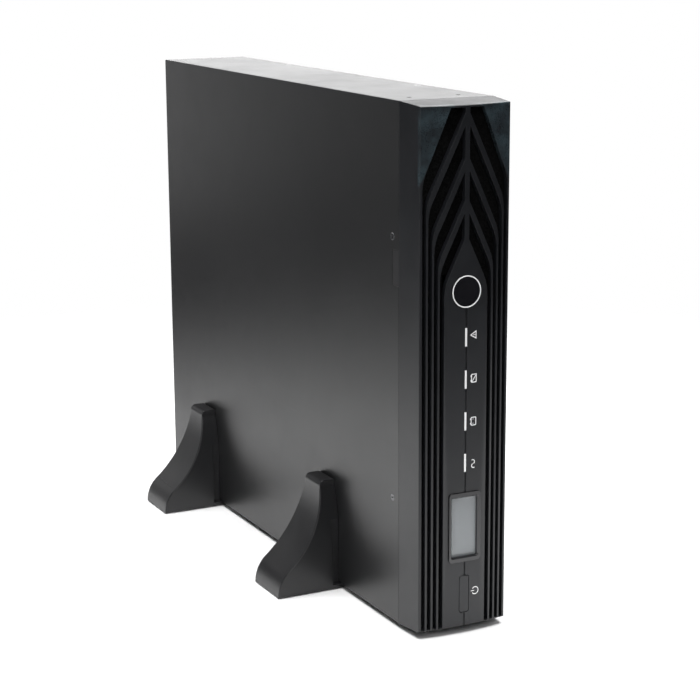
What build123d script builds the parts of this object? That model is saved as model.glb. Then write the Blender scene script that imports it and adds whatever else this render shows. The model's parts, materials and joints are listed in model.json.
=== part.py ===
from build123d import *
import math
import os

os.makedirs("parts", exist_ok=True)

# ---------------------------------------------------------------------------
# Driving dimensions (mm).  X is the unit's thickness, Y its depth (front at -Y),
# Z its height.  Places inside the unit are given from the chassis's front edge
# (y, positive backwards) and from its underside (z).
# ---------------------------------------------------------------------------
CHASSIS_W = 86.5
CHASSIS_D = 506.0
CHASSIS_H = 438.0
SHEET = 1.2
BEND_R = 1.0
FLANGE_W = 15.0

BEZEL_GAP = 0.4
BEZEL_EDGE_D = 30.5
BEZEL_BOW = 3.7
BEZEL_INSET = 2.2
BEZEL_WALL = 2.5
BEZEL_FRONT_WALL = 5.0
BEZEL_EDGE_R = 0.8

STAND_PLATE_T = 3.2
STAND_LIFT = 0.8
LCD_PROUD = 0.8
STUD_PROUD = 9.0

RUN_GAP = 0.3
SNUG_GAP = 0.2
SHAFT_GAP = 0.06
SCREW_R = 1.5
SCREW_HOLE_R = 1.6
SCREW_L = 6.0
RECESS_L = 3.0
RECESS_T = 0.7

# ---------------------------------------------------------------------------
# Frame of the chassis within the part
# ---------------------------------------------------------------------------
HALF_W = CHASSIS_W / 2
IN_X = HALF_W - SHEET
IN_TOP = CHASSIS_H - SHEET
REAR_IN = CHASSIS_D - SHEET
FRONT_PROUD = BEZEL_EDGE_D + BEZEL_BOW + LCD_PROUD
OVERALL_D = FRONT_PROUD + CHASSIS_D + STUD_PROUD
Y0 = -OVERALL_D / 2 + FRONT_PROUD
Z0 = STAND_LIFT + STAND_PLATE_T


def front(y):
    """Plane facing forwards at a depth; sketches read (x, height)."""
    return Plane(origin=(0, Y0 + y, Z0), x_dir=(1, 0, 0), z_dir=(0, -1, 0))


def side(x):
    """Plane facing +X; sketches read (depth, height)."""
    return Plane(origin=(x, Y0, Z0), x_dir=(0, 1, 0), z_dir=(1, 0, 0))


def level(z):
    """Plane facing up at a height; sketches read (x, depth)."""
    return Plane(origin=(0, Y0, Z0 + z), x_dir=(1, 0, 0), z_dir=(0, 0, 1))


def block(x, y, z, mode=Mode.ADD):
    """A box between two limits on each axis, in chassis places."""
    with Locations((x[0], Y0 + y[0], Z0 + z[0])):
        Box(x[1] - x[0], y[1] - y[0], z[1] - z[0], align=(Align.MIN,) * 3, mode=mode)


def rods(plane, spots, radius, length, taper=0, mode=Mode.ADD):
    """Round bars standing on a plane, one at each spot."""
    with BuildSketch(plane) as ends:
        with Locations(*spots):
            Circle(radius)
    extrude(ends.sketch, amount=length, taper=taper, mode=mode)


def plates(plane, spots, width, height, thickness, corner=0, mode=Mode.ADD):
    """Rectangular plates on a plane, one at each spot, with round corners."""
    with BuildSketch(plane) as faces:
        with Locations(*spots):
            if corner:
                RectangleRounded(width, height, corner)
            else:
                Rectangle(width, height)
    extrude(faces.sketch, amount=thickness, mode=mode)


def tube(points, radius, bend):
    """A round wire along straight runs joined by tangent arcs."""
    places = [(x, Y0 + y, Z0 + z) for x, y, z in points]
    with BuildLine() as route:
        if len(places) > 2:
            FilletPolyline(*places, radius=bend)
        else:
            Line(*places)
    start = route.wires()[0]
    with BuildSketch(Plane(origin=start @ 0, z_dir=start % 0)) as section:
        Circle(radius)
    sweep(section.sketch, path=start)


def save(piece, name):
    """Label a finished piece and write it out."""
    piece.part.label = name
    export_step(piece.part, "parts/" + name + ".step")


# ---------------------------------------------------------------------------
# Sheet-metal case: U-shaped cover, tray with the right side and the front
# bulkhead, rear panel
# ---------------------------------------------------------------------------
CSK_HEAD_R = 3.0
CSK_DEPTH = 1.15
SIDE_SCREW_Y = 11.3
SIDE_SCREW_Z = (108.0, CHASSIS_H - 110.0)
EDGE_SCREW_X = HALF_W - 5.75
EDGE_SCREW_Y = (116.0, CHASSIS_D - 126.0)
EAR_HOLE_R = 2.1
EAR_HOLE_X = 22.7
EAR_HOLE_Y = 21.0
LATCH_Z = CHASSIS_H - 135.0
LATCH_H = 29.4
NOTCH_D = 10.5
NOTCH_MARGIN = 0.3

side_screw_spots = [(SIDE_SCREW_Y, z) for z in SIDE_SCREW_Z]
edge_screw_spots = [(EDGE_SCREW_X, y) for y in EDGE_SCREW_Y]
ear_spots = [(x, EAR_HOLE_Y) for x in (-EAR_HOLE_X, EAR_HOLE_X)]
notch_z = (LATCH_Z - LATCH_H / 2 - NOTCH_MARGIN, LATCH_Z + LATCH_H / 2 + NOTCH_MARGIN)

with BuildPart() as cover:
    with BuildSketch(front(0)) as u_section:
        with Locations((0, CHASSIS_H / 2)):
            Rectangle(CHASSIS_W, CHASSIS_H)
        fillet(u_section.vertices().group_by(Axis.X)[0], BEND_R)
        with Locations((SHEET, CHASSIS_H / 2)):
            Rectangle(CHASSIS_W, CHASSIS_H - 2 * SHEET, mode=Mode.SUBTRACT)
    extrude(amount=-CHASSIS_D)
    block((-HALF_W - 1, -IN_X + 1), (-1, NOTCH_D), notch_z, Mode.SUBTRACT)
    rods(side(-HALF_W), side_screw_spots, CSK_HEAD_R + SNUG_GAP / 2, SHEET, 45, Mode.SUBTRACT)
    for face in (level(CHASSIS_H), level(0)):
        inward = -SHEET if face.origin.Z > Z0 else SHEET
        rods(face, ear_spots, EAR_HOLE_R, inward, 0, Mode.SUBTRACT)
        rods(face, edge_screw_spots, CSK_HEAD_R + SNUG_GAP / 2, inward, 45, Mode.SUBTRACT)
save(cover, "cover")

# Battery bay and its drawer, shared by the bulkhead, partition and drawer
BATT_X = 65.0
BATT_Y = 151.0
BATT_Z = 94.0
BATT_GAP = 1.0
BATT_SIDE_GAP = 0.9
TAB_H = 6.3
WIRE_R = 1.8
WIRE_GAP = 0.1
WIRE_SPACE = 5.0
PLUG_SPACE = 10.8
RUNNER_H = 3.0
DRAWER_LIP_X = 2.4
DRAWER_LIP_TOP = 5.4
BULKHEAD_Y = 1.5
SHELF_GAP = 0.5

drawer_x = BATT_X / 2 + BATT_SIDE_GAP + SHEET
drawer_z0 = SHEET + RUNNER_H + RUN_GAP
batt_z = [drawer_z0 + SHEET]
level_pitch = BATT_Z + TAB_H + WIRE_SPACE + SHEET
batt_z.append(batt_z[0] + level_pitch)
drawer_z1 = batt_z[1] + level_pitch
batt_y = (BULKHEAD_Y + 1.5, BULKHEAD_Y + 1.5 + BATT_Y + BATT_GAP)
drawer_y1 = batt_y[1] + BATT_Y + PLUG_SPACE + SHEET
lip_x = drawer_x + DRAWER_LIP_X
lip_z = (drawer_z0 - 1.7, drawer_z1 + DRAWER_LIP_TOP)
bay_top = lip_z[1] + SHELF_GAP
bay_wall_y = drawer_y1 + 7.0
TRAY_SCREW_X = 25.0
tray_screw_spots = [(x, lip_z[1] - 2.9) for x in (-TRAY_SCREW_X, TRAY_SCREW_X)]

# Things on the bezel that pass through the bulkhead
HOOK_Z = (30.0, 150.0, LATCH_Z - 53.0, CHASSIS_H - 28.0)
HOOK_H = 10.0
HOOK_T = 2.0
HOOK_REACH = 6.0
hook_x = lip_x + 1.0
PLUG_Z = bay_top + SHEET + 22.2
PLUG_W = 16.0
PLUG_H = 6.0
PLUG_REACH = 8.0
LATCH_SWING_ROOM = 8.5

VENT_SLOT_W = 3.5
VENT_SLOT_H = 72.0
VENT_PITCH = 7.0
VENT_COUNT = 8
VENT_Z = (CHASSIS_H - 132.0, CHASSIS_H - 52.0)

with BuildPart() as base_tray:
    block((IN_X, HALF_W), (0, CHASSIS_D), (SHEET, IN_TOP))
    block((HALF_W - FLANGE_W, IN_X), (0, REAR_IN), (SHEET, 2 * SHEET))
    block((HALF_W - FLANGE_W, IN_X), (0, REAR_IN), (IN_TOP - SHEET, IN_TOP))
    block((-IN_X, IN_X), (BULKHEAD_Y, BULKHEAD_Y + SHEET), (SHEET, IN_TOP))
    block((-IN_X, -IN_X + SHEET), (BULKHEAD_Y, BULKHEAD_Y + 20), (SHEET, IN_TOP))
    block(
        (-drawer_x - 0.6, drawer_x + 0.6),
        (0, BULKHEAD_Y + SHEET + 1),
        (drawer_z0 - RUN_GAP, drawer_z1 + RUN_GAP),
        Mode.SUBTRACT,
    )
    block(
        (-IN_X - 1, -IN_X + LATCH_SWING_ROOM),
        (0, NOTCH_D + 2),
        (notch_z[0] - 1.5, notch_z[1] + 1.5),
        Mode.SUBTRACT,
    )
    plates(
        front(0),
        [(0, PLUG_Z)],
        PLUG_W + 4 * RUN_GAP,
        PLUG_H + 4 * RUN_GAP,
        -BULKHEAD_Y - SHEET,
        mode=Mode.SUBTRACT,
    )
    for sign in (-1, 1):
        plates(
            front(0),
            [(sign * (hook_x + HOOK_T / 2), z) for z in HOOK_Z],
            HOOK_T + 3 * RUN_GAP,
            HOOK_H + 4 * RUN_GAP,
            -BULKHEAD_Y - SHEET,
            mode=Mode.SUBTRACT,
        )
    vent_spots = [((i - (VENT_COUNT - 1) / 2) * VENT_PITCH, z) for i in range(VENT_COUNT) for z in VENT_Z]
    plates(front(0), vent_spots, VENT_SLOT_W, VENT_SLOT_H, -BULKHEAD_Y - SHEET, 1.7, Mode.SUBTRACT)
    rods(front(0), tray_screw_spots, SCREW_HOLE_R, -BULKHEAD_Y - SHEET, 0, Mode.SUBTRACT)
    rods(side(-IN_X), side_screw_spots, SCREW_HOLE_R, SHEET, 0, Mode.SUBTRACT)
    for z in (SHEET, IN_TOP - SHEET):
        rods(level(z), edge_screw_spots, SCREW_HOLE_R, SHEET, 0, Mode.SUBTRACT)
save(base_tray, "base_tray")

# Rear openings
FAN_SIZE = 80.0
FAN_D = 25.0
FAN_HOLE_R = 2.3
FAN_PILOT_R = 2.15
FAN_HOLE_PITCH = 71.5
FAN_BORE_R = 38.5
FAN_Z = (CHASSIS_H - 138.0, CHASSIS_H - 50.0)
OUTLET_X = 18.0
OUTLET_Z = (48.0, 74.0, 100.0, 126.0)
OUTLET_W = 27.0
OUTLET_H = 20.5
INLET_X = -17.0
INLET_Z = 162.0
INLET_W = 30.0
INLET_H = 26.5
BREAKER_X = 24.0
BREAKER_Z = 162.0
BREAKER_BUSH_R = 7.5
SLOT_X = -12.0
SLOT_Z = 216.0
SLOT_W = 50.0
SLOT_H = 60.0
USB_X = 29.0
USB_Z = 196.0
USB_W = 12.0
USB_H = 11.0
SERIAL_X = 29.0
SERIAL_Z = 228.0
SERIAL_W = 8.4
SERIAL_H = 17.0
PORT_Z = 19.0
PORT_X = -8.0
PORT_W = 46.0
PORT_H = 20.0
STUD_X = 34.0
STUD_Z = 19.0
STUD_R = 2.0
REAR_FLANGE_D = 14.0

outlet_spots = [(x, z) for z in OUTLET_Z for x in (-OUTLET_X, OUTLET_X)]
half_pitch = FAN_HOLE_PITCH / 2
fan_corners = [(dx, dz) for dx in (-half_pitch, half_pitch) for dz in (-half_pitch, half_pitch)]
fan_screw_spots = [(dx, z + dz) for z in FAN_Z for dx, dz in fan_corners]
slot_screw_spots = [(SLOT_X, SLOT_Z + dz) for dz in (-SLOT_H / 2 + 4, SLOT_H / 2 - 4)]

with BuildPart() as rear_panel:
    block((-IN_X, IN_X), (REAR_IN, CHASSIS_D), (SHEET, IN_TOP))
    for x0 in (-IN_X, IN_X - SHEET):
        block((x0, x0 + SHEET), (REAR_IN - REAR_FLANGE_D, REAR_IN), (3 * SHEET, CHASSIS_H - 3 * SHEET))
    rods(front(REAR_IN), [(0, z) for z in FAN_Z], FAN_BORE_R, -SHEET, 0, Mode.SUBTRACT)
    rods(front(REAR_IN), fan_screw_spots, FAN_HOLE_R, -SHEET, 0, Mode.SUBTRACT)
    rods(front(REAR_IN), slot_screw_spots, SCREW_HOLE_R, -SHEET, 0, Mode.SUBTRACT)
    rods(front(REAR_IN), [(BREAKER_X, BREAKER_Z)], BREAKER_BUSH_R + SNUG_GAP, -SHEET, 0, Mode.SUBTRACT)
    rods(front(REAR_IN), [(STUD_X, STUD_Z)], STUD_R + SNUG_GAP, -SHEET, 0, Mode.SUBTRACT)
    for spots, width, height in (
        (outlet_spots, OUTLET_W, OUTLET_H),
        ([(INLET_X, INLET_Z)], INLET_W, INLET_H),
        ([(USB_X, USB_Z)], USB_W, USB_H),
        ([(SERIAL_X, SERIAL_Z)], SERIAL_W, SERIAL_H),
        ([(PORT_X, PORT_Z)], PORT_W, PORT_H),
        ([(SLOT_X, SLOT_Z)], SLOT_W - 14, SLOT_H - 14),
    ):
        plates(
            front(REAR_IN),
            spots,
            width + 2 * SNUG_GAP,
            height + 2 * SNUG_GAP,
            -SHEET,
            mode=Mode.SUBTRACT,
        )
save(rear_panel, "rear_panel")

SOCKET_Z = 139.0
SOCKET_W = 34.0
SOCKET_H = 26.0

with BuildPart() as bay_partition:
    block((-IN_X + SHEET, IN_X), (BULKHEAD_Y + SHEET, bay_wall_y + SHEET), (bay_top, bay_top + SHEET))
    block((-IN_X + SHEET, IN_X), (bay_wall_y, bay_wall_y + SHEET), (2 * SHEET, bay_top))
    plates(front(bay_wall_y), [(0, SOCKET_Z)], SOCKET_W, SOCKET_H, -SHEET, mode=Mode.SUBTRACT)
save(bay_partition, "bay_partition")

RUNNER_W = 12.0
RUNNER_X = (0.6 - drawer_x, drawer_x - 20.6)

with BuildPart() as runner_strips:
    for x in RUNNER_X:
        block((x, x + RUNNER_W), (BULKHEAD_Y + SHEET + 1, bay_wall_y - 4), (SHEET, SHEET + RUNNER_H))
save(runner_strips, "runner_strips")


def countersunk(plane, spots, inward):
    """Flat-head screws sunk flush into a sheet, with a recess for the driver."""
    rods(plane, spots, CSK_HEAD_R, inward * CSK_DEPTH, 45)
    rods(plane, spots, SCREW_R, inward * SCREW_L)
    for turn in (0, 90):
        with BuildSketch(plane) as cross:
            with Locations(*spots):
                Rectangle(RECESS_L, RECESS_T, rotation=turn)
        extrude(cross.sketch, amount=inward * RECESS_T, mode=Mode.SUBTRACT)


with BuildPart() as cover_screws:
    countersunk(side(-HALF_W), side_screw_spots, 1)
    countersunk(level(CHASSIS_H), edge_screw_spots, -1)
    countersunk(level(0), edge_screw_spots, 1)
save(cover_screws, "cover_screws")

# ---------------------------------------------------------------------------
# Moulded front bezel: drafted shell with a bowed front, a spine down the
# middle and slots on both sides that meet in chevrons at the top
# ---------------------------------------------------------------------------
BORDER = 2.15
FIN_W = 1.7
FIN_PITCH = 5.05
FIN_GAP = 3.35
SPINE_GAP = 3.85
SLOT_BOTTOM = 3.2
TOP_BORDER = 4.1
CENTRE_RIB_HALF = 2.0
RIB_SLOPE = 2.1
RIB_W = 4.2
RIB_DROP = (73.9, 40.3, 4.3)
SPINE_DROP = 105.0
KNEE_R = 40.0
CORNER_SLOPE = 2.4
CORNER_TOP_X = 15.0
GROOVE_W = 2.0
GROOVE_D = 1.0
BADGE_Z = CHASSIS_H - 151.4
BADGE_R = 13.2
BADGE_POCKET_D = 1.2
BADGE_SHAFT_R = 3.0
LIGHT_PITCH = 35.1
LIGHT_DROP = 37.7
LIGHT_COUNT = 4
LIGHT_W = 1.75
LIGHT_H = 15.0
LCD_Z = 88.75
LCD_W = 29.6
LCD_H = 59.5
LCD_NECK_W = 26.6
LCD_HOLE_CORNER = 1.5
LCD_NECK_H = 56.6
LCD_SEAT_D = 1.0
BUTTON_Z = 30.55
BUTTON_W = 8.8
BUTTON_H = 31.9
BUTTON_GAP = 0.4
BUTTON_HOLE_CORNER = 2.5
BOARD_STANDOFF = 10.2
BOARD_T = 1.6
BOSS_R = 2.8
BOSS_X = 13.0
BOSS_Z = (20.0, 128.0, BADGE_Z - 30.6)
PILOT_R = 1.25
PILOT_D = 6.0
LATCH_PIVOT_X = 6.45 - HALF_W
LATCH_PIVOT_Y = -14.0
LATCH_PIN_R = 1.5
LATCH_BARREL_R = 2.6
LUG_T = 3.8
LUG_HALF = 3.0
LUG_LAP = 2.4
HOOK_ROOT_D = 14.0

bezel_depth = BEZEL_EDGE_D + BEZEL_BOW
bezel_face = -bezel_depth
draft = math.degrees(math.atan(BEZEL_INSET / BEZEL_EDGE_D))
face_half = HALF_W - BEZEL_INSET
bow_r = (face_half**2 + BEZEL_BOW**2) / (2 * BEZEL_BOW)
inner_face = bezel_face + BEZEL_FRONT_WALL
board_y = inner_face + BOARD_STANDOFF
slot_outer_x = face_half - BORDER
fin_x = [slot_outer_x - FIN_GAP - FIN_W / 2 - i * FIN_PITCH for i in (2, 1, 0)]
spine_half = fin_x[0] - FIN_W / 2 - SPINE_GAP
rib_apex = [CHASSIS_H - drop for drop in RIB_DROP]
light_z = [BADGE_Z - LIGHT_DROP - i * LIGHT_PITCH for i in range(LIGHT_COUNT)]
slot_top = CHASSIS_H - TOP_BORDER
boss_spots = [(x, z) for z in BOSS_Z for x in (-BOSS_X, BOSS_X)]
latch_pivot = (LATCH_PIVOT_X, LATCH_PIVOT_Y)
lug_z = (LATCH_Z - LATCH_H / 2 - RUN_GAP - LUG_T, LATCH_Z + LATCH_H / 2 + RUN_GAP)


def louvre_edge(apex, slope, x_side, start_x):
    """One edge of a slot: down the chevron's slope, round its knee and straight down."""
    knee_z = apex - slope * x_side
    return FilletPolyline(
        (start_x, apex - slope * start_x),
        (x_side, knee_z),
        (x_side, SLOT_BOTTOM),
        radius=KNEE_R,
    )


rib_drop = RIB_W * math.hypot(1, RIB_SLOPE)
inner_edges = [(CHASSIS_H - SPINE_DROP, spine_half)]
inner_edges += [(apex, x + FIN_W / 2) for apex, x in zip(rib_apex, fin_x)]
outer_edges = [(apex - rib_drop, x - FIN_W / 2) for apex, x in zip(rib_apex, fin_x)]

with BuildPart() as bezel_core:
    with BuildSketch(front(-BEZEL_GAP)):
        with Locations((0, CHASSIS_H / 2)):
            Rectangle(CHASSIS_W - 2 * BEZEL_WALL, CHASSIS_H - 2 * BEZEL_WALL)
    extrude(amount=bezel_depth, taper=draft)
    with Locations((0, Y0 + bezel_face + bow_r, Z0 + CHASSIS_H / 2)):
        Cylinder(bow_r - BEZEL_FRONT_WALL, 2 * CHASSIS_H, mode=Mode.INTERSECT)

with BuildPart() as bezel:
    with BuildSketch(front(-BEZEL_GAP)):
        with Locations((0, CHASSIS_H / 2)):
            Rectangle(CHASSIS_W, CHASSIS_H)
    extrude(amount=bezel_depth, taper=draft)
    with Locations((0, Y0 + bezel_face + bow_r, Z0 + CHASSIS_H / 2)):
        Cylinder(bow_r, 2 * CHASSIS_H, mode=Mode.INTERSECT)
    fillet(bezel.faces().sort_by(Axis.Y)[0].edges(), BEZEL_EDGE_R)
    add(bezel_core.part, mode=Mode.SUBTRACT)
    rods(front(board_y), boss_spots, BOSS_R, board_y - inner_face + 1.5)
    rods(front(board_y), boss_spots, PILOT_R, PILOT_D, 0, Mode.SUBTRACT)
    for z in HOOK_Z:
        for sign in (-1, 1):
            tip = sorted((sign * hook_x, sign * (hook_x + HOOK_T)))
            root = sorted((sign * hook_x, sign * (HALF_W - BEZEL_WALL + 0.5)))
            block(tip, (-HOOK_ROOT_D, HOOK_REACH), (z - HOOK_H / 2, z + HOOK_H / 2))
            block(root, (-HOOK_ROOT_D, -HOOK_ROOT_D + 6), (z - HOOK_H / 2, z + HOOK_H / 2))
    for z in lug_z:
        lug_y = (LATCH_PIVOT_Y - LUG_HALF, LATCH_PIVOT_Y + LUG_HALF)
        block((-HALF_W + BEZEL_WALL, LATCH_PIVOT_X + LUG_LAP), lug_y, (z, z + LUG_T))
    lug_span = lug_z[1] - lug_z[0] + LUG_T
    rods(level(lug_z[0]), [latch_pivot], LATCH_PIN_R + SHAFT_GAP, lug_span, 0, Mode.SUBTRACT)
    for (in_apex, in_x), (out_apex, out_x) in zip(inner_edges, outer_edges):
        with BuildSketch(front(inner_face + 4)):
            with BuildLine():
                inner = louvre_edge(in_apex, RIB_SLOPE, in_x, CENTRE_RIB_HALF)
                outer = louvre_edge(out_apex, RIB_SLOPE, out_x, CENTRE_RIB_HALF)
                Line(inner @ 0, outer @ 0)
                Line(inner @ 1, outer @ 1)
            make_face()
            mirror(about=Plane.YZ)
        extrude(amount=bezel_depth, mode=Mode.SUBTRACT)
    with BuildSketch(front(inner_face + 4)):
        with BuildLine():
            inner = louvre_edge(inner_edges[3][0], RIB_SLOPE, inner_edges[3][1], CENTRE_RIB_HALF)
            outer = louvre_edge(
                slot_top + CORNER_SLOPE * CORNER_TOP_X, CORNER_SLOPE, slot_outer_x, CORNER_TOP_X
            )
            Polyline(inner @ 0, (CENTRE_RIB_HALF, slot_top), outer @ 0)
            Line(inner @ 1, outer @ 1)
        make_face()
        mirror(about=Plane.YZ)
    extrude(amount=bezel_depth, mode=Mode.SUBTRACT)
    groove_y = (bezel_face - 1, bezel_face + GROOVE_D)
    for z0, z1 in (
        (SLOT_BOTTOM - 0.7, BUTTON_Z - BUTTON_H / 2),
        (BUTTON_Z + BUTTON_H / 2, LCD_Z - LCD_H / 2),
        (LCD_Z + LCD_H / 2, BADGE_Z - BADGE_R),
    ):
        block((-GROOVE_W / 2, GROOVE_W / 2), groove_y, (z0, z1), Mode.SUBTRACT)
    cut = -BEZEL_FRONT_WALL - 2
    light_hole = (LIGHT_W + SNUG_GAP, LIGHT_H + SNUG_GAP)
    plates(front(bezel_face - 1), [(0, z) for z in light_z], *light_hole, cut, mode=Mode.SUBTRACT)
    plates(
        front(bezel_face - 1),
        [(0, LCD_Z)],
        LCD_W + 2 * SNUG_GAP,
        LCD_H + 2 * SNUG_GAP,
        -1 - LCD_SEAT_D,
        3.0,
        Mode.SUBTRACT,
    )
    lcd_hole = (LCD_NECK_W + 2 * SNUG_GAP, LCD_NECK_H + 2 * SNUG_GAP)
    plates(front(bezel_face - 1), [(0, LCD_Z)], *lcd_hole, cut, LCD_HOLE_CORNER, Mode.SUBTRACT)
    button_hole = (BUTTON_W + 2 * BUTTON_GAP, BUTTON_H + 2 * BUTTON_GAP)
    plates(front(bezel_face - 1), [(0, BUTTON_Z)], *button_hole, cut, BUTTON_HOLE_CORNER, Mode.SUBTRACT)
    rods(front(bezel_face - 1), [(0, BADGE_Z)], BADGE_R + SNUG_GAP, -1 - BADGE_POCKET_D, 0, Mode.SUBTRACT)
    rods(front(bezel_face - 1), [(0, BADGE_Z)], BADGE_SHAFT_R + SHAFT_GAP, cut, 0, Mode.SUBTRACT)
save(bezel, "bezel")

with BuildPart() as bezel_latch:
    latch_z = (LATCH_Z - LATCH_H / 2, LATCH_Z + LATCH_H / 2)
    arm_x = (LATCH_PIVOT_X - LATCH_BARREL_R + SNUG_GAP, LATCH_PIVOT_X)
    rods(level(latch_z[0]), [latch_pivot], LATCH_BARREL_R, LATCH_H)
    rods(level(latch_z[0] - LUG_T), [latch_pivot], LATCH_PIN_R, LATCH_H + 2 * LUG_T)
    block(arm_x, (LATCH_PIVOT_Y, NOTCH_D - 2 * RUN_GAP), latch_z)
    block((-HALF_W, arm_x[1]), (-BEZEL_GAP + RUN_GAP, NOTCH_D - 2 * RUN_GAP), latch_z)
save(bezel_latch, "bezel_latch")

FILTER_T = 3.0
FILTER_BACK_OFF = 3.8
FILTER_HALF = HALF_W - BEZEL_WALL - 2.35
FILTER_BOTTOM = 5.0
FILTER_TOP = CHASSIS_H - 5.0
FILTER_CUT_HALF = 17.6
FILTER_CUT_TOP = BADGE_Z + 13.4

filter_y = (inner_face + FILTER_BACK_OFF, inner_face + FILTER_BACK_OFF + FILTER_T)

with BuildPart() as dust_filter:
    block((-FILTER_HALF, FILTER_HALF), filter_y, (FILTER_BOTTOM, FILTER_TOP))
    block((-FILTER_CUT_HALF, FILTER_CUT_HALF), filter_y, (FILTER_BOTTOM - 1, FILTER_CUT_TOP), Mode.SUBTRACT)
save(dust_filter, "dust_filter")

# ---------------------------------------------------------------------------
# Display: framed window, panel, lens, light pipes, board and connector
# ---------------------------------------------------------------------------
LCD_OPEN_W = 24.0
LCD_OPEN_H = 51.0
LCD_LIP = 3.0
LENS_T = 1.0
LENS_LAP = 0.5
LCD_CORNER_R = 3.0

lcd_face = bezel_face - LCD_PROUD
lcd_seat = bezel_face + LCD_SEAT_D
lens_y = (lcd_face + LCD_LIP, lcd_face + LCD_LIP + LENS_T)
lens_w = LCD_OPEN_W + 2 * LENS_LAP
lens_h = LCD_OPEN_H + 2 * LENS_LAP

with BuildPart() as lcd_frame:
    plates(front(lcd_face), [(0, LCD_Z)], LCD_W, LCD_H, lcd_face - lcd_seat, LCD_CORNER_R)
    plates(front(lcd_seat), [(0, LCD_Z)], LCD_NECK_W, LCD_NECK_H, lcd_seat - inner_face, 1.5)
    plates(front(lcd_face), [(0, LCD_Z)], LCD_OPEN_W, LCD_OPEN_H, -LCD_LIP, 1.0, Mode.SUBTRACT)
    plates(
        front(lens_y[0]),
        [(0, LCD_Z)],
        lens_w + SNUG_GAP,
        lens_h + SNUG_GAP,
        -LCD_LIP,
        mode=Mode.SUBTRACT,
    )
    rim = lcd_frame.faces().sort_by(Axis.Y)[0].inner_wires()[0].edges()
    chamfer(rim, 1.0)
save(lcd_frame, "lcd_frame")

with BuildPart() as lcd_lens:
    plates(front(lens_y[0]), [(0, LCD_Z)], lens_w, lens_h, -LENS_T)
save(lcd_lens, "lcd_lens")

LCD_BODY_FRONT = inner_face + 0.8
LCD_BODY_W = 28.0
LCD_BODY_H = 58.0

with BuildPart() as lcd_module:
    plates(front(lens_y[1] + SNUG_GAP), [(0, LCD_Z)], lens_w, lens_h, lens_y[1] + SNUG_GAP - LCD_BODY_FRONT)
    plates(front(LCD_BODY_FRONT), [(0, LCD_Z)], LCD_BODY_W, LCD_BODY_H, LCD_BODY_FRONT - board_y)
save(lcd_module, "lcd_module")

PIPE_FLANGE_W = 5.0
PIPE_FLANGE_H = 18.0
PIPE_FLANGE_T = 1.2
LED_T = 1.9

with BuildPart() as light_pipes:
    light_spots = [(0, z) for z in light_z]
    pipe_back = board_y - LED_T - RUN_GAP
    plates(front(bezel_face), light_spots, LIGHT_W, LIGHT_H, bezel_face - pipe_back)
    plates(front(inner_face + SNUG_GAP), light_spots, PIPE_FLANGE_W, PIPE_FLANGE_H, -PIPE_FLANGE_T)
save(light_pipes, "light_pipes")

BOARD_HALF = 17.0
BOARD_Z = (12.0, BADGE_Z - 24.6)

with BuildPart() as display_board:
    block((-BOARD_HALF, BOARD_HALF), (board_y, board_y + BOARD_T), BOARD_Z)
    plates(front(board_y), light_spots, 3.2, 2.4, LED_T)
    rods(front(board_y), boss_spots, SCREW_HOLE_R, -BOARD_T, 0, Mode.SUBTRACT)
save(display_board, "display_board")

BOARD_SCREW_R = 1.2

with BuildPart() as board_screws:
    rods(front(board_y + BOARD_T), boss_spots, 2.6, -1.6)
    rods(front(board_y + BOARD_T), boss_spots, BOARD_SCREW_R, BOARD_T + PILOT_D - 1)
    plates(front(board_y + BOARD_T + 1.0), boss_spots, 3.0, 0.6, -1.0, mode=Mode.SUBTRACT)
save(board_screws, "board_screws")

SOCKET_D = 10.5
socket_front = BULKHEAD_Y + SHEET

with BuildPart() as display_plug:
    plates(front(board_y + BOARD_T), [(0, PLUG_Z)], PLUG_W, PLUG_H, board_y + BOARD_T - PLUG_REACH)
    chamfer(display_plug.faces().sort_by(Axis.Y)[-1].edges(), 0.6)
save(display_plug, "display_plug")

with BuildPart() as display_socket:
    plates(front(socket_front), [(0, PLUG_Z)], PLUG_W + 4, PLUG_H + 4, -SOCKET_D)
    plates(
        front(socket_front),
        [(0, PLUG_Z)],
        PLUG_W + 2 * RUN_GAP,
        PLUG_H + 2 * RUN_GAP,
        -SOCKET_D + 2,
        mode=Mode.SUBTRACT,
    )
save(display_socket, "display_socket")

BUTTON_PROUD = 0.2
BUTTON_TRAVEL = 1.5
BUTTON_FLANGE = 2.0
BUTTON_FLANGE_T = 1.5
SWITCH_D = 3.5
PLUNGER_D = 1.7

button_flange_y = inner_face + RUN_GAP
plunger_y = board_y - SWITCH_D - PLUNGER_D
stem_y = plunger_y - BUTTON_TRAVEL - SNUG_GAP

with BuildPart() as power_button:
    plates(
        front(bezel_face - BUTTON_PROUD),
        [(0, BUTTON_Z)],
        BUTTON_W,
        BUTTON_H,
        bezel_face - BUTTON_PROUD - button_flange_y,
        2.2,
    )
    fillet(power_button.faces().sort_by(Axis.Y)[0].edges(), 0.6)
    plates(
        front(button_flange_y),
        [(0, BUTTON_Z)],
        BUTTON_W + 2 * BUTTON_FLANGE,
        BUTTON_H + 2 * BUTTON_FLANGE,
        -BUTTON_FLANGE_T,
    )
    rods(front(button_flange_y), [(0, BUTTON_Z)], 2.0, button_flange_y - stem_y)
save(power_button, "power_button")

with BuildPart() as tact_switch:
    plates(front(board_y), [(0, BUTTON_Z)], 6.0, 6.0, SWITCH_D)
    rods(front(board_y - SWITCH_D), [(0, BUTTON_Z)], 1.7, PLUNGER_D)
save(tact_switch, "tact_switch")

BADGE_GAP = 0.1
BADGE_T = 1.4
RING_W = 0.95
RING_T = 0.2
COLLAR_R = 4.2

badge_seat = bezel_face + BADGE_POCKET_D
badge_face = badge_seat - BADGE_GAP - BADGE_T

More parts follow.
